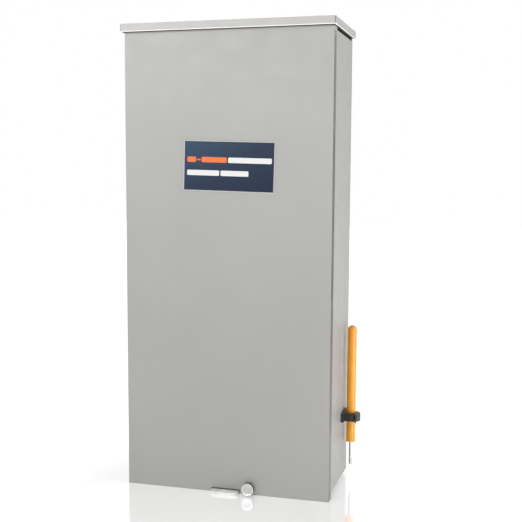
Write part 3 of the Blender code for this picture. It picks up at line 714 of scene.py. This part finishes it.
def label():
    """Plain bars in two rows stand in for the words, inside a dark edge and a pale margin."""
    finish_node("label_plate", 0.15)
    face = middle_of("label_plate")
    face.y = box_mm("label_plate")[0].y
    aim = Matrix.Translation(face) @ Matrix.Rotation(LABEL_TILT, 4, "Y")
    aim = aim @ Matrix.Rotation(radians(90), 4, "X")
    upper, lower, dash = (5.6, 14.2), (-15.4, -6.8), (8.6, 10.9)
    orange = [((-70, -55.2), upper), ((-53.6, -47.4), dash), ((-45.8, -3.4), upper)]
    white = [((-1.1, 71), upper), ((-70, -15.6), lower), ((-13.2, 33.2), lower)]
    for name, look, spans in (
        ("label_bars_orange", ORANGE_INK, orange),
        ("label_bars_white", WHITE_INK, white),
        ("label_margin", SILVER_EDGE, label_border(0.8)),
        ("label_dark_edge", NAVY_EDGE, label_border(-0.1)),
    ):
        bm = bmesh.new()
        for (left, right), (bottom, top) in spans:
            wide, tall = right - left, top - bottom
            outline = rounded_rectangle(wide, tall, min(1.8, wide * 0.25, tall * 0.25))
            spot = Matrix.Translation(((left + right) / 2, (bottom + top) / 2, 0.02))
            add_outline(bm, outline, 0.12, aim @ spot)
        piece(name, bm, look, "cover")


def latch_knob():
    """A thumbscrew: knurled band, black groove ring standing in for the shade beside the rim, dished face
    with a rim made bright as a painted highlight, and shank.
    """
    low, high = box_mm("latch_knob")
    radius = (high.x - low.x) / 2
    at = middle_of("latch_knob")
    at.y = box_mm("front_cover")[0].y
    reach = at.y - low.y

    bm = bmesh.new()
    teeth, start, end = 44, 1.4, reach - 5.0
    outline = []
    for step in range(teeth * 2):
        tooth, angle = radius - 0.4 * (step % 2), pi * step / teeth
        outline.append((tooth * cos(angle), tooth * sin(angle)))
    add_outline(bm, outline, end - start, placed(at - Y * (start + end) / 2, -Y), 0.2)
    back = [(0, 0.4), (radius - 0.7, 0.4), (radius - 0.2, 0.8), (radius - 0.2, start + 0.1)]
    add_turned(bm, [*back, (0, start + 0.1)], at, -Y, 48)
    piece("latch_knob_band", bm, BAND_LOOK, "latch", ["latch_knob"])

    # A black ring behind the rim that stands in for the shade at the knob's side
    bm = bmesh.new()
    add_turned(bm, disc(radius - 0.15, end - 0.1, reach - 2), at, -Y, 48)
    piece("latch_knob_groove_painted_shade", bm, BLACK_FOAM_AND_SHADE, "latch")

    # The rim: polished metal, made lighter than the face as a painted highlight
    bm = bmesh.new()
    rim = ((1.2, 2.2), (0.3, 2.2), (0, 1.8), (0, 0.7), (0.4, 0.1), (1, 0), (1.7, 0.5), (1.7, 1.2))
    profile = [(radius - inward, reach - back) for inward, back in rim]
    add_turned(bm, profile, at, -Y, 64, closed=True)
    piece("latch_knob_rim_painted_highlight", bm, RIM_POLISH_AND_HIGHLIGHT, "latch")
    bm = bmesh.new()
    outer = [(radius - inward, reach - back) for inward, back in ((1.4, 2.3), (1.4, 0.5), (2.6, 0.6))]
    dish = [(3.6, reach - 0.5), (3.2, reach - 0.75), (0, reach - 0.75)]
    add_turned(bm, [(0, reach - 2.3), *outer, *dish], at, -Y, 64)
    piece("latch_knob_face", bm, "knob_metal", "latch")

    bm = bmesh.new()
    shank, tip = 3.0, at.y - high.y
    thread = [(shank - 0.35 * (step % 2), tip + 0.8 + 0.5 * step) for step in range(25)]
    add_turned(bm, [(0, tip), (shank - 0.9, tip), *thread, (shank, 0.6), (0, 0.6)], at, -Y, 24)
    add_turned(bm, disc(5.0, -2.3, -1.7), at, -Y)
    piece("latch_shank", bm, "plain_steel", "latch")


def cover_extras():
    """A brow over the hasp slot, and a foam gasket, two stiffeners and a wiring sheet behind."""
    low, high = box_mm("front_cover")
    tab_low, tab_high = box_mm("hasp_bracket")
    bm = bmesh.new()
    x, z = (tab_low.x - 2.4, tab_high.x + 2.4), (tab_high.z + 1.1, tab_high.z + 3)
    add_slab(bm, x, (low.y - 0.15, low.y + 1.9), z)
    piece("hasp_slot_brow", bm, "cover_paint", "cover")

    tub_low, tub_high = box_mm("enclosure_tub")
    wide, narrow = tub_high.x - 2, tub_high.x - 10
    foot, head = tub_low.z + 2, box_mm("pivot_pin_left")[0].z - 4
    thick = (tub_low.y - 1.3, tub_low.y - 0.15)
    knob_low, knob_high = box_mm("latch_knob")
    bm = bmesh.new()
    add_pair(bm, narrow, wide, thick, (foot, head), 0.3, 1)
    for x in ((-narrow, knob_low.x + 3), (knob_high.x - 3, narrow)):
        add_slab(bm, x, thick, (foot, foot + 7), 0.3, 1)
    add_slab(bm, (-narrow, narrow), thick, (head - 8, head), 0.3, 1)
    piece("cover_gasket", bm, BLACK_FOAM_AND_SHADE, "cover")

    inner = low.y + 1.6
    section = [(-16, 0), (-8.5, 0), (-7, 8), (7, 8), (8.5, 0), (16, 0)]
    section += [(16, 1.2), (9.4, 1.2), (7.9, 9.2), (-7.9, 9.2), (-9.4, 1.2), (-16, 1.2)]
    bm = bmesh.new()
    for x in (-95, 95):
        spot = Matrix.Translation((x, inner, (low.z + high.z) / 2))
        add_outline(bm, section, high.z - low.z - 130, spot)
    piece("cover_stiffeners", bm, "cover_paint", "cover")

    bm = bmesh.new()
    add_outline(bm, rounded_rectangle(116, 160, 4), 0.3, placed((0, inner + 0.15, 170), Y))
    piece("wiring_sheet", bm, PAPER, "cover")
    bm = bmesh.new()
    ink = (inner + 0.28, inner + 0.38)
    for step in range(6):
        z = 110 + 22 * step
        add_slab(bm, (-46, -10 + 6 * (step % 3)), ink, (z, z + 0.9), 0)
        add_slab(bm, (6, 20 + 9 * (step % 2)), ink, (z - 4, z + 5), 0.04, 1)
        add_slab(bm, (34 + 4 * (step % 2), 48), ink, (z, z + 0.9), 0)
    piece("wiring_sheet_lines", bm, GREY_INK, "cover")


def tub_extras():
    """Knockouts in the bottom and back walls, the back ones' scores and the rear edge folds darkened as
    painted shade, a ground stud and a nut's collar.
    """
    low, high = box_mm("enclosure_tub")
    bm = bmesh.new()
    sink, rise = -0.05, 0.35
    for x, y, radius in ((-95, -85, 25.5), (0, -85, 18.0), (90, -75, 22.0)):
        for size in (radius, radius * 0.72):
            profile = [(size - 0.9, sink), (size + 0.9, sink), (size + 0.45, rise), (size - 0.45, rise)]
            add_turned(bm, profile, (x, y, low.z), -Z, 40, closed=True)
            add_turned(bm, profile, (x, y, low.z + 1.5), Z, 40, closed=True)
    piece("knockout_rings", bm, "cover_paint")
    # Score rings in the darker paint: painted shade in the score lines
    bm = bmesh.new()
    for x, radius in ((-60, 18), (60, 14)):
        for size, start, end in ((radius, 14, 346), (radius * 0.7, 194, 526)):
            strip = arc((0, 0), size + 0.5, start, end, 44) + arc((0, 0), size - 0.5, end, start, 44)
            for y in (-0.04, -1.46):
                add_outline(bm, strip, 0.12, placed((x, y, low.z + 55), Y))
    piece("back_knockout_scores_painted_shade", bm, FOLD_AND_SCORE_SHADE)
    # Strips in the darker paint at the rear edges: painted shade along the folds
    bm = bmesh.new()
    add_pair(bm, high.x - 0.5, high.x + 0.15, (-1.9, -0.3), (low.z + 1, high.z - 12), 0.1, 1)
    piece("rear_edge_folds_painted_shade", bm, FOLD_AND_SCORE_SHADE)

    spot = Vector((150, -1.5, low.z + 60))
    bm = bmesh.new()
    add_turned(bm, [(0, 0), (3, 0), (3, 15), (2.4, 15.7), (0, 15.7)], spot, -Y, 20)
    piece("ground_stud", bm, "plain_steel")
    screws("ground_stud_nut", "hex", 5.2, [spot - Y * 2], GREEN_SCREW)
    bm = bmesh.new()
    ring = [(3.5, 0), (6.4, 0), (6.4, 0.9), (3.5, 0.9)]
    add_turned(bm, ring, middle_of("latch_nut") - Y * 3.4, Y, closed=True)
    piece("latch_nut_collar", bm, "zinc_plate")


def handle():
    """The dipped grip with its round end and rolled rim, and the steel rod with a chamfered tip."""
    low, high = box_mm("handle_grip")
    foot = middle_of("handle_grip")
    foot.z = low.z
    radius, length = (high.x - low.x) / 2, high.z - low.z
    angles = [radians(a) for a in range(0, 90, 10)]
    dome = [(radius * cos(a), length - radius * (1 - sin(a))) for a in angles]
    sleeve = [(radius - 0.12 * (step % 2), 6 + step * (length - radius - 12) / 8) for step in range(9)]
    rim = [(3.2, 1.4), (4.0, 0.25), (radius - 1.6, 0), (radius - 0.5, 0.4), (radius, 1.6), (radius, 3.2)]
    bm = bmesh.new()
    add_turned(bm, [(0, 1.4), *rim, (radius - 0.25, 4.2), *sleeve, *dome, (0, length)], foot, Z, 64)
    piece("handle_grip_dipped", bm, "grip_vinyl", "handle", replaces=["handle_grip"])
    low, high = box_mm("handle_rod")
    foot.z, radius, length = low.z, (high.x - low.x) / 2, high.z - low.z
    tip = [(0, 0), (radius - 1.1, 0), (radius - 0.15, 1.1), (radius, 1.5), (radius, 13.6)]
    groove = [(radius - 0.25, 13.9), (radius - 0.25, 14.6), (radius, 14.9)]
    bm = bmesh.new()
    add_turned(bm, [*tip, *groove, (radius, length), (0, length)], foot, Z, 40)
    piece("handle_rod_drawn", bm, ROD_LOOK, "handle", ["handle_rod"])


def clip():
    """The clip keeps its CAD shapes, with a foam pad, side ledges and ridges for the thumb."""
    finish_node("handle_clip_base", 0.35)
    finish_node("handle_clip_jaw", 0.3)
    low, high = box_mm("handle_clip_base")
    bm = bmesh.new()
    x, y = (box_mm("enclosure_tub")[1].x, low.x + 0.15), (low.y + 0.6, high.y - 0.6)
    add_slab(bm, x, y, (low.z + 0.5, high.z - 0.5), 0.05, 1)
    piece("clip_adhesive_pad", bm, BLACK_FOAM_AND_SHADE)
    bm = bmesh.new()
    for z in (low.z - 0.6, high.z - 0.5):
        add_slab(bm, (low.x + 0.3, low.x + 3.4), (low.y + 1.2, high.y - 1.2), (z, z + 1.1))
    for step in range(5):
        y = high.y - 3.2 - 2.1 * step
        add_slab(bm, (low.x + 6.6, low.x + 7.9), (y - 0.5, y + 0.5), (low.z + 3, high.z - 3), 0.25)
    piece("clip_base_ledges", bm, "black_moulding")
    jaw = box_mm("handle_clip_jaw")[0]
    bm = bmesh.new()
    for step in range(4):
        x, y = jaw.x + 19.3 + 0.5 * step, jaw.y + 4.9 - 1.25 * step
        add_slab(bm, (x - 0.5, x + 0.5), (y - 0.3, y + 0.3), (low.z + 1.5, high.z - 1.5), 0.2)
    piece("clip_thumb_ridges", bm, "black_moulding", "clip_jaw")


# ---- inside


def dead_front_extras():
    """The inner cover's screws, a frame round each breaker window, and a plain tag at each pole."""
    low, high = box_mm("dead_front")
    inset, deep, strip = 9, (low.y - 0.9, low.y + 0.1), 2.1
    ends = (low.z + inset, high.z - inset)
    points = grid((low.x + inset, high.x - inset), low.y, ends) + grid((0,), low.y, ends)
    screws("dead_front_screws", "cross", 4.2, points)
    foot, head = box_mm("breaker_4_case")[0].z - 3, box_mm("breaker_1_case")[1].z + 3
    near, far = 24.5, 63.5
    bm = bmesh.new()
    for start in (near, far - strip):
        add_pair(bm, start, start + strip, deep, (foot, head), 0.4)
    for z in (foot, head - strip):
        add_pair(bm, near, far, deep, (z, z + strip), 0.4)
    piece("breaker_window_frames", bm, "cover_paint")
    bm, ink = bmesh.new(), bmesh.new()
    for name, side in BREAKERS:
        for pole in (-HALF_POLE, HALF_POLE):
            x, z = mirrored(side, 70, 112), middle_of(f"{name}_case").z + pole
            add_tag(bm, ink, (x[0], low.y - 0.3, z - 7), (x[1], low.y + 0.05, z + 7), 1)
    piece("circuit_tags", bm, PAPER)
    piece("circuit_tag_rules", ink, GREY_INK)


def breaker_extras():
    """Parting lines, contact-position marks, lug screws and the toggles' grip ridges."""
    seams, on_marks, off_marks = bmesh.new(), bmesh.new(), bmesh.new()
    lug_screws = []
    for name, side in BREAKERS:
        low, high = box_mm(f"{name}_case")
        nose, middle = low.y, (low.z + high.z) / 2
        for near, far in ((28.6, 32.4), (55.6, 59.4)):
            z = (middle - 0.35, middle + 0.35)
            add_slab(seams, mirrored(side, near, far), (nose - 0.12, nose + 0.2), z, 0.05, 1)
        for pole in (middle - HALF_POLE, middle + HALF_POLE):
            lug_screws.append((side * 70.5, nose + 13, pole))
            for bm, spot in ((on_marks, 30.5), (off_marks, 57.5)):
                x = mirrored(side, spot - 0.9, spot + 0.9)
                add_slab(bm, x, (nose - 0.12, nose + 0.1), (pole - 3, pole + 3), 0.05, 1)
        pivot = Vector((side * TOGGLE_PIVOT[0], TOGGLE_PIVOT[1], middle))
        along = Vector((-side * sin(TOGGLE_LEAN), -cos(TOGGLE_LEAN), 0))
        across = Vector((cos(TOGGLE_LEAN), -side * sin(TOGGLE_LEAN), 0))
        turn, half = Matrix.Rotation(-side * TOGGLE_LEAN, 4, "Z"), Vector((0.35, 0.5, 15))
        bm = bmesh.new()
        for step in range(3):
            for face in (-1, 1):
                spot = pivot + along * (TOGGLE_REACH - 2.4 - 2.3 * step) + across * face * 2.55
                add_box(bm, spot - half, spot + half, 0.2, 1, turn)
        piece(f"{name}_toggle_ridges", bm, "black_moulding", f"{name}_switch")
    piece("breaker_seams", seams, WHITE_MOULDING)
    piece("breaker_on_marks", on_marks, ORANGE_INK)
    piece("breaker_off_marks", off_marks, WHITE_INK)
    screws("breaker_lug_screws", "slot", 4.4, lug_screws)


def bar_extras():
    """Wire screws along the neutral and ground bars, and the mouths of their wire holes, as near-black
    discs of painted shade for the holes.
    """
    count = 15
    mouth = [(0, -0.2), (2.6, -0.2), (3.1, 0.12), (3.4, 0.05), (3.4, -0.2)]
    for name, look, kind in (("neutral_bar", "zinc_plate", "slot"), ("ground_bar", GREEN_SCREW, "cross")):
        low, high = box_mm(name)
        gap = (high.z - low.z) / count
        heights = [low.z + gap * (step + 0.5) for step in range(count)]
        screws(f"{name}_screws", kind, 4.0, grid(((low.x + high.x) / 2,), low.y, heights), look)
        y = high.y - 7 if name == "ground_bar" else low.y + 6.5
        # Near-black discs on the bar's sides: painted shade where the wire holes would be
        bm = bmesh.new()
        for z in heights:
            add_turned(bm, mouth, (low.x, y, z), -X, 20)
            add_turned(bm, mouth, (high.x, y, z), X, 20)
        piece(f"{name}_wire_ports_painted_hole_shade", bm, BLACK_STEEL_AND_HOLE_SHADE)


def add_pad(bm, x, up, lift, half, edge):
    """A contact pad at an arm's end, tilted up (1) or down (-1), lifted off the arm's middle."""
    along = Vector((0, -cos(ARM_TILT), up * sin(ARM_TILT)))
    rise = Vector((0, up * sin(ARM_TILT), cos(ARM_TILT)))
    spot = SHAFT + X * x + along * CONTACT_REACH + rise * lift
    add_box(bm, spot - half, spot + half, edge, 1, Matrix.Rotation(-up * ARM_TILT, 4, "X"))


def transfer_extras():
    """Base screws and ribs, lug set screws, silver contact faces, socket collar and washers."""
    low, high = box_mm("transfer_base")
    front = box_mm("utility_contact_left")[1].y + 0.3
    ends = (low.z + 8, high.z - 8)
    points = grid((low.x + 7, high.x - 7), front, ends) + grid((0,), front, ends)
    screws("transfer_base_screws", "cross", 4.4, points)
    bm = bmesh.new()
    steps = [22 + 12 * step for step in range(4)]
    for z in [low.z + step for step in steps] + [high.z - step for step in steps]:
        for x in ((-14, -5), (5, 14), (52, 66), (-66, -52)):
            add_slab(bm, x, (front - 2.4, front + 0.2), (z - 1, z + 1), 0.5)
    piece("transfer_base_ribs", bm, "black_moulding")

    points = []
    for source in ("utility", "generator"):
        for where in ("left", "right"):
            point = middle_of(f"{source}_lug_{where}")
            point.y = box_mm(f"{source}_lug_{where}")[0].y
            points.append(point)
    screws("lug_set_screws", "set", 5.6, points, BLACK_STEEL_AND_HOLE_SHADE)

    moving, fixed = bmesh.new(), bmesh.new()
    for x in ARMS_X:
        for up in (1, -1):
            add_pad(fixed, x, up, up * 3.42, Vector((4.6, 4.6, 0.14)), 0.08)
        for face in (-1, 1):
            add_pad(moving, x, 1, face * 3.02, Vector((4.4, 4.4, 0.1)), 0.05)
    piece("fixed_contact_faces", fixed, SILVER_PAD)
    piece("moving_contact_faces", moving, SILVER_PAD, "rotor")

    at = Vector((middle_of("handle_socket").x, box_mm("handle_socket")[0].y + 2.8, SHAFT.z))
    collar = [(3.6, -0.3), (8.6, -0.3), (8.9, 0), (8.9, 2.6), (8.4, 3.1), (3.6, 3.1)]
    bm = bmesh.new()
    add_turned(bm, collar, at, -Y, 40, closed=True)
    piece("handle_socket_collar", bm, ORANGE_PAINT, "rotor")
    bm = bmesh.new()
    for x in (-92, -84):
        washer = [(6.1, -0.7), (8.6, -0.7), (8.6, 0.7), (6.1, 0.7)]
        add_turned(bm, washer, SHAFT + X * x, X, closed=True)
    piece("shaft_washers", bm, "zinc_plate", "rotor")


def solenoid_extras():
    """Bobbin flanges, tags on the coils and relay, frame screws, and crimps on the coil leads."""
    bm, tags, ink = bmesh.new(), bmesh.new(), bmesh.new()
    flange = [(6.4, 0), (17.3, 0), (17.6, 0.3), (17.6, 1.3), (17.3, 1.6), (6.4, 1.6)]
    for name in ("solenoid_coil_upper", "solenoid_coil_lower"):
        low, high = box_mm(name)
        x, y = middle_of(name).xy
        for z in (low.z + 0.05, high.z - 1.65):
            add_turned(bm, flange, (x, y, z), Z, 48, closed=True)
        add_tag(tags, ink, (x - 7, low.y - 0.25, low.z + 14), (x + 7, low.y + 1.4, high.z - 14), 3)
    piece("coil_bobbin_flanges", bm, WHITE_MOULDING)
    low, high = box_mm("transfer_relay")
    add_tag(tags, ink, (low.x + 6, low.y - 0.2, low.z + 12), (high.x - 6, low.y + 0.4, high.z - 12), 4)
    piece("coil_and_relay_tags", tags, PAPER)
    piece("coil_and_relay_tag_print", ink, GREY_INK)
    low, high = box_mm("solenoid_frame")
    middle = (low.z + high.z) / 2
    points = grid((low.x + 5, high.x - 5), low.y + 35.9, (middle - 8, middle + 8))
    screws("solenoid_frame_screws", "hex", 3.4, points)
    bm = bmesh.new()
    crimp = [(0, 0), (2.0, 0), (2.1, 0.4), (2.1, 5), (1.8, 5.6), (0, 5.6)]
    for name, inset in (("coil_lead_upper", 1.4), ("coil_lead_lower", 1.5)):
        low, high = box_mm(name)
        add_turned(bm, crimp, (low.x + inset, high.y - 1.3, low.z - 0.6), Z, 20)
    piece("lead_crimps", bm, WHITE_MOULDING)


def control_extras():
    """Terminal screws on brass plates, ceramic fuses with end caps in clips, and the relay's base."""
    low = box_mm("terminal_block")[0]
    seat, points = low.y + 9.2, []
    bm = bmesh.new()
    for x in TERMINALS_X:
        add_slab(bm, (x - 3.3, x + 3.3), (seat, seat + 0.9), (low.z + 9, low.z + 48))
        points += grid((x,), seat, (low.z + 17, low.z + 39))
    piece("terminal_plates", bm, BRASS)
    screws("terminal_screws", "cross", 2.9, points)

    low, high = box_mm("fuse_block")
    length, cap_long, half = high.z - low.z - 7.2, 8.6, Vector((0.3, 4.5, 3))
    cap = [(0, 0), (4.9, 0), (5.35, 0.4), (5.35, 8.2), (5.1, cap_long), (0, cap_long)]
    bodies, caps = bmesh.new(), bmesh.new()
    for x in FUSES_X:
        at = Vector((x, low.y + 5, low.z + 3.6))
        add_turned(bodies, disc(5.1, 8, length - 8), at)
        for start in (0, length - cap_long):
            add_turned(caps, cap, at + Z * start)
            for side in (-1, 1):
                grip = at + Vector((side * 5.6, 1.5, start + 4.3))
                add_box(caps, grip - half, grip + half, 0.25)
    piece("fuse_bodies", bodies, WHITE_MOULDING)
    piece("fuse_caps_and_clips", caps, "tinned_bus")

    low, high = box_mm("transfer_relay")
    bm = bmesh.new()
    add_slab(bm, (low.x - 1.6, high.x + 1.2), (high.y - 9, high.y), (low.z - 3, high.z + 3), 1)
    for z in (low.z + 9, high.z - 11):
        add_slab(bm, (low.x - 0.7, high.x + 0.7), (high.y - 16, high.y - 8), (z, z + 2), 0.4)
    piece("relay_base", bm, "black_moulding")


def panel_extras():
    """Screws of the back panel and bus insulator, and heads on the inner ends of the cover's pins."""
    low, high = box_mm("back_panel")
    rows = (low.z + 10, (low.z + high.z) / 2, high.z - 10)
    screws("back_panel_screws", "hex", 5.0, grid((low.x + 9, high.x - 9), low.y, rows))
    low, high = box_mm("bus_insulator")
    screws("bus_insulator_screws", "cross", 3.2, grid((-28.5, 28.5), -30, (low.z + 7, high.z - 7)))
    bm = bmesh.new()
    for name, side in (("pivot_pin_left", 1), ("pivot_pin_right", 0)):
        at = middle_of(name)
        at.x = box_mm(name)[side].x
        head = [(0, 0), (3.6, 0), (4.2, 0.5), (2.0, 1.1), (0, 1.2)]
        add_turned(bm, head, at, X if side else -X, 24)
    piece("pivot_pin_heads", bm, "plain_steel")


finish_node("enclosure_tub", 0.6)
finish_node("front_cover", 0.8, 3, COVER_PAINT_AND_FLANGE_SHADE)
finish_node("hasp_bracket", 0.35, 2, HASP_LOOK)
rain_cap()
label()
latch_knob()
cover_extras()
tub_extras()
handle()
clip()
dead_front_extras()
breaker_extras()
bar_extras()
transfer_extras()
solenoid_extras()
control_extras()
panel_extras()
for lead in ("coil_lead_upper", "coil_lead_lower"):
    finish_node(lead, 0)
for node in sorted(frame["nodes"]):
    left = frame["nodes"][node]
    if not left.modifiers and not left.hide_render:
        finish_node(node, 0.4)


# ---- room, light and camera


AMBIENT, AMBIENT_ABOVE = 0.2, 0.1
FLOOR_GLOW = (0.24, 0.55)  # near the object and away from it
FLOOR_HALF = 8.0

# Name, place, target, size in metres, and power in watts
LAMPS = (
    ("key_softbox", (-0.35, -1.2, 0.52), (0, -0.16, 0.2), (1.1, 0.35), 8),
    ("top_softbox", (0, -0.14, 1.7), (0, -0.1, 0), (0.6, 0.6), 9),
    ("side_softbox", (0.85, -0.36, -0.31), (0.17, -0.1, -0.27), (0.4, 0.28), 2.5),
    ("side_top_softbox", (0.85, -0.36, 0.6), (0.17, -0.1, 0.32), (0.4, 0.28), 2.2),
)

EYE = (0.4589, -1.6069, 0.14355)
EYE_TURN, EYE_TILT, EYE_ROLL = 15.71, 90 - 6.12, 0.274  # degrees
LENS, SENSOR, SHIFT = 64.86, 36, (0.0058, 0.0253)


def surround():
    """A white surround that lights less from above than from the sides."""
    world = bpy.data.worlds.new("white_surround")
    world.use_nodes = True
    tree = Wiring(world.node_tree)
    height = tree.axis("Z", tree.node("ShaderNodeTexCoord").outputs["Generated"])
    fade = tree.spread(height, 0.1, 0.9, (AMBIENT, AMBIENT_ABOVE))
    ambient = tree.tree.nodes["Background"]
    tree.feed(ambient.inputs["Color"], (1, 1, 1))
    tree.feed(ambient.inputs["Strength"], fade)
    backdrop = tree.node("ShaderNodeBackground", {"Color": (1, 1, 1)})
    path = tree.node("ShaderNodeLightPath").outputs
    seen = tree.math("MAXIMUM", path["Is Camera Ray"], path["Is Glossy Ray"])
    inputs = {"Fac": seen, 1: ambient.outputs["Background"], 2: backdrop.outputs["Background"]}
    pick = tree.node("ShaderNodeMixShader", inputs)
    tree.feed(tree.tree.nodes["World Output"].inputs["Surface"], pick.outputs["Shader"])
    bpy.context.scene.world = world


def studio():
    """A pale floor with a faint sheen, a white surround and the soft lamps."""
    look = Finish("studio_floor", 0.1, IOR=4.8, Emission_Color=(1, 1, 1, 1))
    inputs = {0: look.place, 1: (-0.05, -0.3, FLOOR)}
    away = look.node("ShaderNodeVectorMath", inputs, operation="DISTANCE")
    glow = look.spread(away.outputs["Value"], 0.22, 0.5, FLOOR_GLOW)
    look.feed(look.shader.inputs["Emission Strength"], glow)
    look.colour(look.mottle(look.noise(3.0), (0.92,) * 3, (0.94,) * 3))
    mesh = bpy.data.meshes.new("floor")
    ends = (-FLOOR_HALF, FLOOR_HALF)
    mesh.from_pydata([(x, y, FLOOR) for x in ends for y in ends], [], [(0, 2, 3, 1)])
    mesh.materials.append(look.material)
    plane = add_object("floor", mesh)

    surround()
    for name, at, target, size, power in LAMPS:
        light = bpy.data.lights.new(name, "AREA")
        light.shape = "RECTANGLE"
        light.size, light.size_y = size
        light.energy = power
        lamp = add_object(name, light)
        lamp.location = at
        lamp.rotation_euler = (Vector(target) - Vector(at)).to_track_quat("-Z", "Y").to_euler()
    bpy.context.scene.view_settings.view_transform = "Standard"


def camera():
    """The camera at the photograph's viewing angle."""
    lens = bpy.data.cameras.new("camera")
    lens.lens = LENS
    lens.sensor_width = SENSOR
    lens.shift_x, lens.shift_y = SHIFT
    eye = add_object("camera", lens)
    aim = Matrix.Translation(EYE)
    for degrees, axis in ((EYE_TURN, "Z"), (EYE_TILT, "X"), (EYE_ROLL, "Z")):
        aim = aim @ Matrix.Rotation(radians(degrees), 4, axis)
    eye.matrix_world = aim
    bpy.context.scene.camera = eye


studio()
camera()
bpy.context.view_layer.update()
